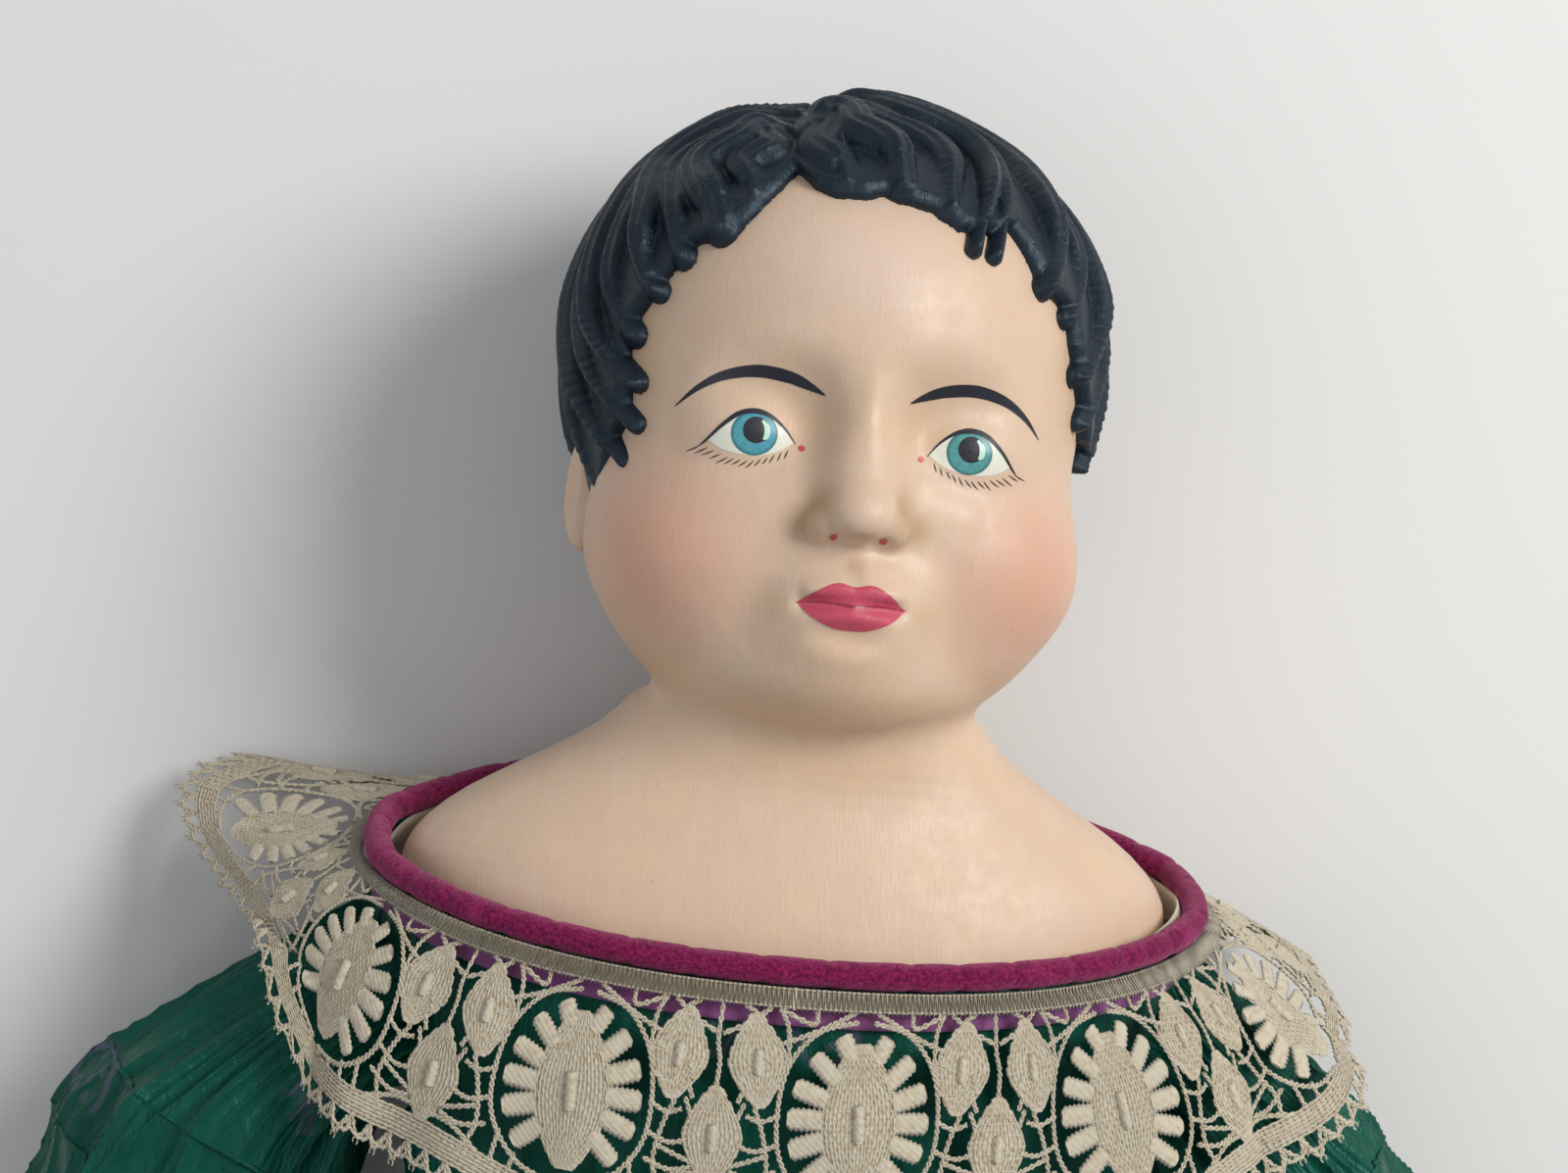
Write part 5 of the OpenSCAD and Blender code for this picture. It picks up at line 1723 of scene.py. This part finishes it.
def limb_material():
    """The same flesh paint as the head, with ochre streaks and patches of blush laid at random."""
    m = Nodes("painted_limbs", SKIN, 0.42)
    colour = m.mix(m.remap(m.noise(0.011, 4, 0.6), 0.42, 0.66, 0, 0.5), SKIN, (0.78, 0.50, 0.32))
    colour = m.mix(m.remap(m.noise((0.0016, 0.012, 0.0016), 3, 0.6), 0.5, 0.74, 0, 0.3), colour, OCHRE)
    colour = m.mix(m.remap(m.noise(0.02, 2), 0.5, 0.7, 0, 0.35), colour, BLUSH)
    m.set("Base Color", colour)
    m.set("Roughness", m.remap(m.noise(0.004, 4, 0.6), 0.3, 0.7, 0.36, 0.52))
    m.set("Subsurface Weight", 0.08)
    m.set("Subsurface Radius", (0.004, 0.002, 0.001))
    m.bump(m.noise((0.0006, 0.005, 0.0009), 3, 0.6), 0.00012, 0.55)
    return m.material


limb_paint = limb_material()
string = lace_material("tie_string", (0.60, 0.54, 0.42))


def tied_string(name, node, body, centre_of, radius, thick):
    """Twisted string wound twice round a groove, with a knot and two short ends."""
    out = Pile()
    t = np.linspace(0, 4 * math.pi, 260)
    shift = (t / (4 * math.pi) - 0.5) * thick * 1.9
    for k in range(2):
        twist = t * 22 + k * math.pi
        r = radius + thick * 0.32 * np.cos(twist)
        path = centre_of(r * np.cos(t), shift + thick * 0.32 * np.sin(twist), r * np.sin(t))
        out.tube(path, thick * 0.42, 6)
    knot = np.linspace(0, 2.2 * math.pi, 40)
    high = radius + thick * 0.9 + 0.5 * np.sin(knot * 2)
    out.tube(centre_of(1.4 * np.cos(knot), 1.3 * np.sin(knot * 1.5), high), thick * 0.5, 6)
    for sign in (-1, 1):
        t = np.linspace(0, 1, 14)
        path = centre_of(sign * (1 + 4.2 * t), 2.0 * t ** 2 * sign, radius + thick * 0.7 - 0.9 * t)
        out.tube(path, thick * 0.42, 6)
    obj = out.mesh(name, string)
    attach(obj, body)
    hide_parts(node)


# down, half width, back, front
LEG = np.array([
    [470, 17.5, 15, 50], [474, 17.5, 15, 50], [476, 15.5, 17, 48], [482, 15.5, 17, 48], [484, 17.5, 15, 50],
    [505, 18.5, 11, 48], [530, 17.5, 9.5, 45], [570, 13, 9, 36], [596, 11.4, 5.4, 31], [597, 12.6, 4.2, 32.4],
    [610, 12.6, 2.6, 34], [622, 13, 1.4, 41], [632, 14, 0.8, 53], [642, 14.8, 0.5, 65], [650, 14.6, 0.8, 69],
    [654, 13.4, 1.6, 68]
], float)


def leg_distance(q):
    """A lower leg with a tie groove and a moulded ankle boot with a heel, a sole and eyelets."""
    half, back, front = columns(LEG, q[..., 1])
    deep, middle = (front - back) / 2, (front + back) / 2
    oval = np.abs(q[..., 0] / half) ** SQUARED + np.abs((q[..., 2] - middle) / deep) ** SQUARED
    d = (oval ** (1 / SQUARED) - 1) * np.minimum(half, deep)
    d = np.maximum(d, np.maximum(470 - q[..., 1], q[..., 1] - 654)) * 0.8
    z = q[..., 2]
    outline = np.interp(z, (0.6, 10, 24, 34, 50, 62, 69), (9.5, 11, 10.4, 10.6, 13, 11.5, 6))
    sole = np.maximum(np.abs(q[..., 0]) - outline, np.maximum(0.6 - z, z - 69.0))
    arch = np.hypot((q[..., 1] - 660) / 0.42, z - 28.6) - 10
    sole = np.maximum(np.maximum(sole, np.maximum(653.2 - q[..., 1], q[..., 1] - 660)), -arch * 0.42)
    d = blend_min(d, sole + 0.25, 0.6)
    welt = np.maximum(np.abs(q[..., 0]) - outline - 0.6, np.maximum(0.5 - z, z - 69.3))
    welt = np.maximum(welt, np.abs(q[..., 1] - 653.8) - 0.7)
    d = blend_min(d, welt, 0.5)
    # the boot's top edge, its front seam and six pairs of moulded eyelets
    boot = (q[..., 1] > 597) & (q[..., 1] < 640)
    seam = np.exp(-(q[..., 0] / 0.7) ** 2) * boot * (z > middle)
    eyelet = 0.0
    for k in range(6):
        s, x = 600.5 + 5.4 * k, 3.6
        rad = np.hypot(np.abs(q[..., 0]) - x, q[..., 1] - s)
        eyelet = eyelet + np.exp(-((rad - 0.95) / 0.5) ** 2) * (z > middle)
    ankle = 0.35 * np.exp(-((q[..., 1] - 617) / 5) ** 2) * np.sin(q[..., 1] * 1.4 + q[..., 0] * 0.2) * boot
    return d + 0.45 * seam - 0.4 * eyelet - ankle


leg_points, leg_faces = surface_nets(leg_distance, (-19, 467, -3), (19, 664, 72), limb_step)


def boot_leg_material():
    """Flesh leg with a painted garter line, a black boot rubbed brown in spots, and a tan sole."""
    m = Nodes("painted_leg", SKIN, 0.4)
    split = m.node("ShaderNodeSeparateXYZ", {0: m.where})
    y = split.outputs[1]
    colour = m.mix(m.remap(m.noise(0.011, 4, 0.6), 0.42, 0.66, 0, 0.5), SKIN, (0.80, 0.52, 0.34))
    edge = (CROWN - 596.6) * MM
    wobble = m.math("ADD", y, m.math("MULTIPLY", m.math("SUBTRACT", m.noise(0.004), 0.5), 0.0005))
    boot = m.math("LESS_THAN", wobble, edge)
    worn = m.remap(m.noise(0.002, 5, 0.7), 0.60, 0.78, 0, 0.6)
    black = m.mix(worn, (0.012, 0.011, 0.012), (0.07, 0.05, 0.035))
    colour = m.mix(boot, colour, black)
    line_low = m.math("LESS_THAN", wobble, edge + 0.0016)
    colour = m.mix(m.math("MULTIPLY", line_low, m.math("SUBTRACT", 1.0, boot)), colour, (0.34, 0.02, 0.07))
    sole = m.math("LESS_THAN", y, (CROWN - 654.6) * MM)
    colour = m.mix(sole, colour, m.mix(worn, (0.30, 0.17, 0.08), (0.16, 0.09, 0.045)))
    m.set("Base Color", colour)
    m.set("Roughness", m.remap(m.noise(0.003, 4), 0.3, 0.7, 0.28, 0.45))
    m.bump(m.noise((0.0008, 0.003, 0.0008), 3, 0.6), 0.00012, 0.5)
    return m.material


boot_paint = boot_leg_material()


def leg_point(side, u, v, w):
    """A point round a leg's tie groove, as (x, s, z)."""
    return np.stack(np.broadcast_arrays(side * LEG_X + u, 479 + v, 32.5 + w), -1)


for side, name in ((1, "left"), (-1, "right")):
    q = forearm_points * [side, 1, 1]
    placed = arm_point(side, q[:, 0], q[:, 1], q[:, 2])
    forearm = make_mesh(f"{name}_forearm_bisque", placed,
                        forearm_faces if side > 0 else forearm_faces[:, ::-1], limb_paint)
    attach(forearm, f"{name}_forearm")
    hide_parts(f"{name}_forearm")
    tied_string(f"{name}_arm_string", f"{name}_arm_tie", f"{name}_forearm",
                lambda u, v, w, side=side: arm_point(side, u, 137 + v, w), 10.9, 0.85)
    leg = make_mesh(f"{name}_leg_bisque", leg_points * [side, 1, 1] + [side * LEG_X, 0, 0],
                    leg_faces if side > 0 else leg_faces[:, ::-1], boot_paint)
    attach(leg, f"{name}_leg")
    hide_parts(f"{name}_lower_leg")
    tied_string(f"{name}_leg_string", f"{name}_leg_tie", f"{name}_leg",
                lambda u, v, w, side=side: leg_point(side, u, v, w), 16.9, 0.95)


# ------------------------------------------------------------------ stuffed cloth body

calico = cotton_material("calico", (0.60, 0.50, 0.36), 0.0007, 0.0012)
hemp = cotton_material("seam_thread", (0.68, 0.61, 0.48), 0.0004, 0.0002)
batting = cotton_material("cotton_batting", (0.66, 0.60, 0.49), 0.0011, 0.0030)
brass = Nodes("brass_wire", (0.66, 0.44, 0.16), 0.34)
brass.set("Metallic", 1.0)
brass.set("Roughness", brass.remap(brass.noise(0.0008, 3), 0.3, 0.7, 0.26, 0.48))


def outer_shell(node):
    """A copy of a CAD node's mesh without the walls of its cavity."""
    shell = bmesh.new()
    shell.from_mesh(bpy.data.objects[node].data)
    bmesh.ops.remove_doubles(shell, verts=shell.verts, dist=1e-6)
    inner, seen = [], set()
    for first in shell.verts:
        if first in seen:
            continue
        part, queue = {first}, [first]
        while queue:
            for edge in queue.pop().link_edges:
                for vert in edge.verts:
                    if vert not in part:
                        part.add(vert)
                        queue.append(vert)
        seen |= part
        centre = sum((v.co for v in part), Vector()) / len(part)
        volume = 0.0
        for face in {f for v in part for f in v.link_faces}:
            volume += face.normal.dot(face.calc_center_median() - centre) * face.calc_area()
        if volume < 0:
            inner += part
    bmesh.ops.delete(shell, geom=inner, context="VERTS")
    return shell


# how far a stuffed cover may move off its CAD shape, in metres, and the frames it is inflated for
SWELL = 0.0009
INFLATE_FRAMES = 20


def stuffed(node, name, voxel, held=()):
    """A calico cover inflated as cloth from the CAD's outside, a little smaller to begin with. held
    gives spheres, as (x, s, z, radius), in which a neighbour keeps the cloth still."""
    shell = outer_shell(node)
    mesh = bpy.data.meshes.new(name)
    shell.to_mesh(mesh)
    shell.free()
    obj = bpy.data.objects.new(name, mesh)
    bpy.context.scene.collection.objects.link(obj)
    obj.modifiers.new("even", "REMESH").voxel_size = voxel * MM
    bpy.context.view_layer.update()
    even = bpy.data.meshes.new_from_object(obj.evaluated_get(bpy.context.evaluated_depsgraph_get()))
    obj.modifiers.clear()
    obj.data = even
    count = len(even.vertices)
    start, normal = np.empty(count * 3), np.empty(count * 3)
    even.vertices.foreach_get("co", start)
    even.vertices.foreach_get("normal", normal)
    start, normal = start.reshape(-1, 3), normal.reshape(-1, 3)
    small = start - SWELL * normal
    even.vertices.foreach_set("co", small.ravel())
    pinned = obj.vertex_groups.new(name="pinned")
    for x, s, z, radius in held:
        near = np.linalg.norm(start - to_world(np.array([x, s, z])), axis=1) < radius * MM
        pinned.add([int(k) for k in np.flatnonzero(near)], 1.0, "REPLACE")
    moved = small
    cloth = obj.modifiers.new("inflate", "CLOTH")
    cloth.settings.quality = 6
    cloth.settings.use_pressure = True
    cloth.settings.uniform_pressure_force = 4
    cloth.settings.effector_weights.gravity = 0
    cloth.settings.shrink_min = -0.02
    cloth.settings.vertex_group_mass = "pinned"
    cloth.point_cache.frame_start, cloth.point_cache.frame_end = 1, INFLATE_FRAMES
    for frame_number in range(1, INFLATE_FRAMES + 1):
        bpy.context.scene.frame_set(frame_number)
    done = obj.evaluated_get(bpy.context.evaluated_depsgraph_get()).data
    moved = np.empty(count * 3)
    done.vertices.foreach_get("co", moved)
    moved = moved.reshape(-1, 3)
    obj.modifiers.clear()
    bpy.context.scene.frame_set(1)
    step = np.nan_to_num(moved - start)
    length = np.maximum(np.linalg.norm(step, axis=1, keepdims=True), 1e-9)
    moved = start + step * np.minimum(1, SWELL / length)
    moved[:, 2] = np.maximum(moved[:, 2], start[:, 2].min())
    even.vertices.foreach_set("co", moved.ravel())
    smooth = obj.modifiers.new("smooth", "SUBSURF")
    smooth.levels = smooth.render_levels = 1
    bpy.context.view_layer.update()
    obj.data = bpy.data.meshes.new_from_object(obj.evaluated_get(bpy.context.evaluated_depsgraph_get()))
    obj.modifiers.clear()
    obj.data.materials.clear()
    obj.data.materials.append(calico)
    obj.data.polygons.foreach_set("use_smooth", np.ones(len(obj.data.polygons), bool))
    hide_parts(node)
    return obj


def seam(cover, name, path, outward):
    """Overcast stitches along a seam: path and outward are points and directions as (x, s, z)."""
    tree = BVHTree.FromPolygons([v.co for v in cover.data.vertices],
                                [tuple(p.vertices) for p in cover.data.polygons])
    out = Pile()
    for k in range(len(path) - 1):
        ends = []
        for middle, way in ((path[k], outward[k]), (path[k] * 0.45 + path[k + 1] * 0.55, outward[k + 1])):
            away = Vector(to_world(middle + way) - to_world(middle))
            far = Vector(to_world(middle)) + away.normalized() * 0.2
            place = tree.ray_cast(far, -away)[0]
            if place is not None:
                ends.append(np.array(place) + np.array(away.normalized()) * 0.0001)
        if len(ends) == 2 and np.linalg.norm(ends[1] - ends[0]) < 0.006:
            start, stop = (np.stack([e[0] / MM, CROWN - e[1] / MM, e[2] / MM]) for e in ends)
            bow = (start + stop) / 2 + outward[k] / np.linalg.norm(outward[k]) * 0.25
            out.tube(spline([start, bow, stop], 5), 0.22, 5)
    obj = out.mesh(name, hemp)
    return obj


def line(start, stop, n):
    t = np.linspace(0, 1, n)[:, None]
    return (1 - t) * np.array(start, float) + t * np.array(stop, float)


torso = stuffed("torso_cover", "torso_calico", 5.0, [(0, 150, 50, 30)])
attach(torso, "torso")
for side, name in ((1, "left"), (-1, "right")):
    path = line((side * 20, 180, 45), (side * 20, 326, 42), 42)
    stitches = seam(torso, f"torso_{name}_seam", path, np.broadcast_to([side * 1.0, 0, 0], path.shape))
    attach(stitches, "torso")
    shoulder = arm_point(side, 0.0, 0, 0)
    arm = stuffed(f"{name}_upper_arm_cover", f"{name}_upper_arm_calico", 3.0, [(*shoulder, 18)])
    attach(arm, f"{name}_arm")
    path = line(arm_point(side, 0.0, 10, 0), arm_point(side, 0.0, 106, 0), 30)
    under = arm_point(side, -side * 1.0, 0, 0) - arm_point(side, 0.0, 0, 0)
    stitches = seam(arm, f"{name}_upper_arm_seam", path, np.broadcast_to(under, path.shape))
    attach(stitches, f"{name}_arm")
    cloth_elbow = stuffed(f"{name}_elbow_cloth", f"{name}_elbow_calico", 1.6)
    to_world(arm_point(side, 0.0, 112, 0))
    to_world(arm_point(side, 0.0, 126, 0))
    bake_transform(cloth_elbow)
    thigh = stuffed(f"{name}_thigh_cover", f"{name}_thigh_calico", 4.0, [(side * LEG_X, 470, 32, 24)])
    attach(thigh, f"{name}_leg")
    path = line((side * LEG_X, 352, 36), (side * LEG_X, 462, 33), 34)
    stitches = seam(thigh, f"{name}_thigh_seam", path, np.broadcast_to([-side * 1.0, 0, 0], path.shape))
    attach(stitches, f"{name}_leg")


# ------------------------------------------------------------------ CAD nodes carried over

carried = {"torso_stuffing": batting, "plate_tapes": white_cotton, "back_hooks": brass.material}
for name in ("left", "right"):
    carried[f"{name}_upper_arm_stuffing"] = batting
    carried[f"{name}_thigh_stuffing"] = batting
for node, material in carried.items():
    shown = bpy.data.objects[node].data
    shown.materials.clear()
    shown.materials.append(material)


# ------------------------------------------------------------------ floor, light, camera

floor_mesh = bpy.data.meshes.new("floor")
floor_mesh.from_pydata([(x, y, -0.0002) for x, y in ((-3, -3), (3, -3), (3, 3), (-3, 3))], [], [(0, 1, 2, 3)])
floor_mesh.materials.append(floor_material())
floor = bpy.data.objects.new("floor", floor_mesh)
bpy.context.collection.objects.link(floor)


def area_light(name, place, target, size, power, colour=(1, 1, 1)):
    data = bpy.data.lights.new(name, "AREA")
    data.shape, data.size, data.energy, data.color = "DISK", size, power, colour
    obj = bpy.data.objects.new(name, data)
    bpy.context.collection.objects.link(obj)
    obj.location = place
    obj.rotation_euler = (Vector(target) - Vector(place)).to_track_quat("-Z", "Y").to_euler()


face = Vector(to_world((0, 90, 60)))
area_light("window", face + Vector((0.78, 0.46, 1.0)), face, 0.7, 13.5, (1.0, 0.985, 0.96))
area_light("fill", face + Vector((-0.8, -0.2, 1.1)), face, 1.2, 2.4, (0.93, 0.96, 1.0))
world = bpy.data.worlds.new("studio")
world.use_nodes = True
world.node_tree.nodes["Background"].inputs[0].default_value = (0.93, 0.95, 1.0, 1)
world.node_tree.nodes["Background"].inputs[1].default_value = 0.36
bpy.context.scene.world = world


def make_camera():
    """Looks straight down on the face from a little to the viewer's left, as in the photograph."""
    azimuth, roll = math.radians(7.5), math.radians(5)
    back = Vector((-math.sin(azimuth), 0, math.cos(azimuth)))
    right = Vector((0, 1, 0)).cross(back)
    up = Vector((0, 1, 0)) * math.cos(roll) - right * math.sin(roll)
    right = up.cross(back)
    data = bpy.data.cameras.new("camera")
    data.lens = 83.7
    data.clip_start = 0.01
    camera = bpy.data.objects.new("camera", data)
    bpy.context.collection.objects.link(camera)
    target = Vector(to_world((-11.6, 92.8, 95)))
    axes = Matrix((right, up, back)).transposed().to_4x4()
    camera.matrix_world = Matrix.Translation(target + back * 0.655) @ axes
    bpy.context.scene.camera = camera


make_camera()
bpy.context.scene.view_settings.view_transform = "Standard"
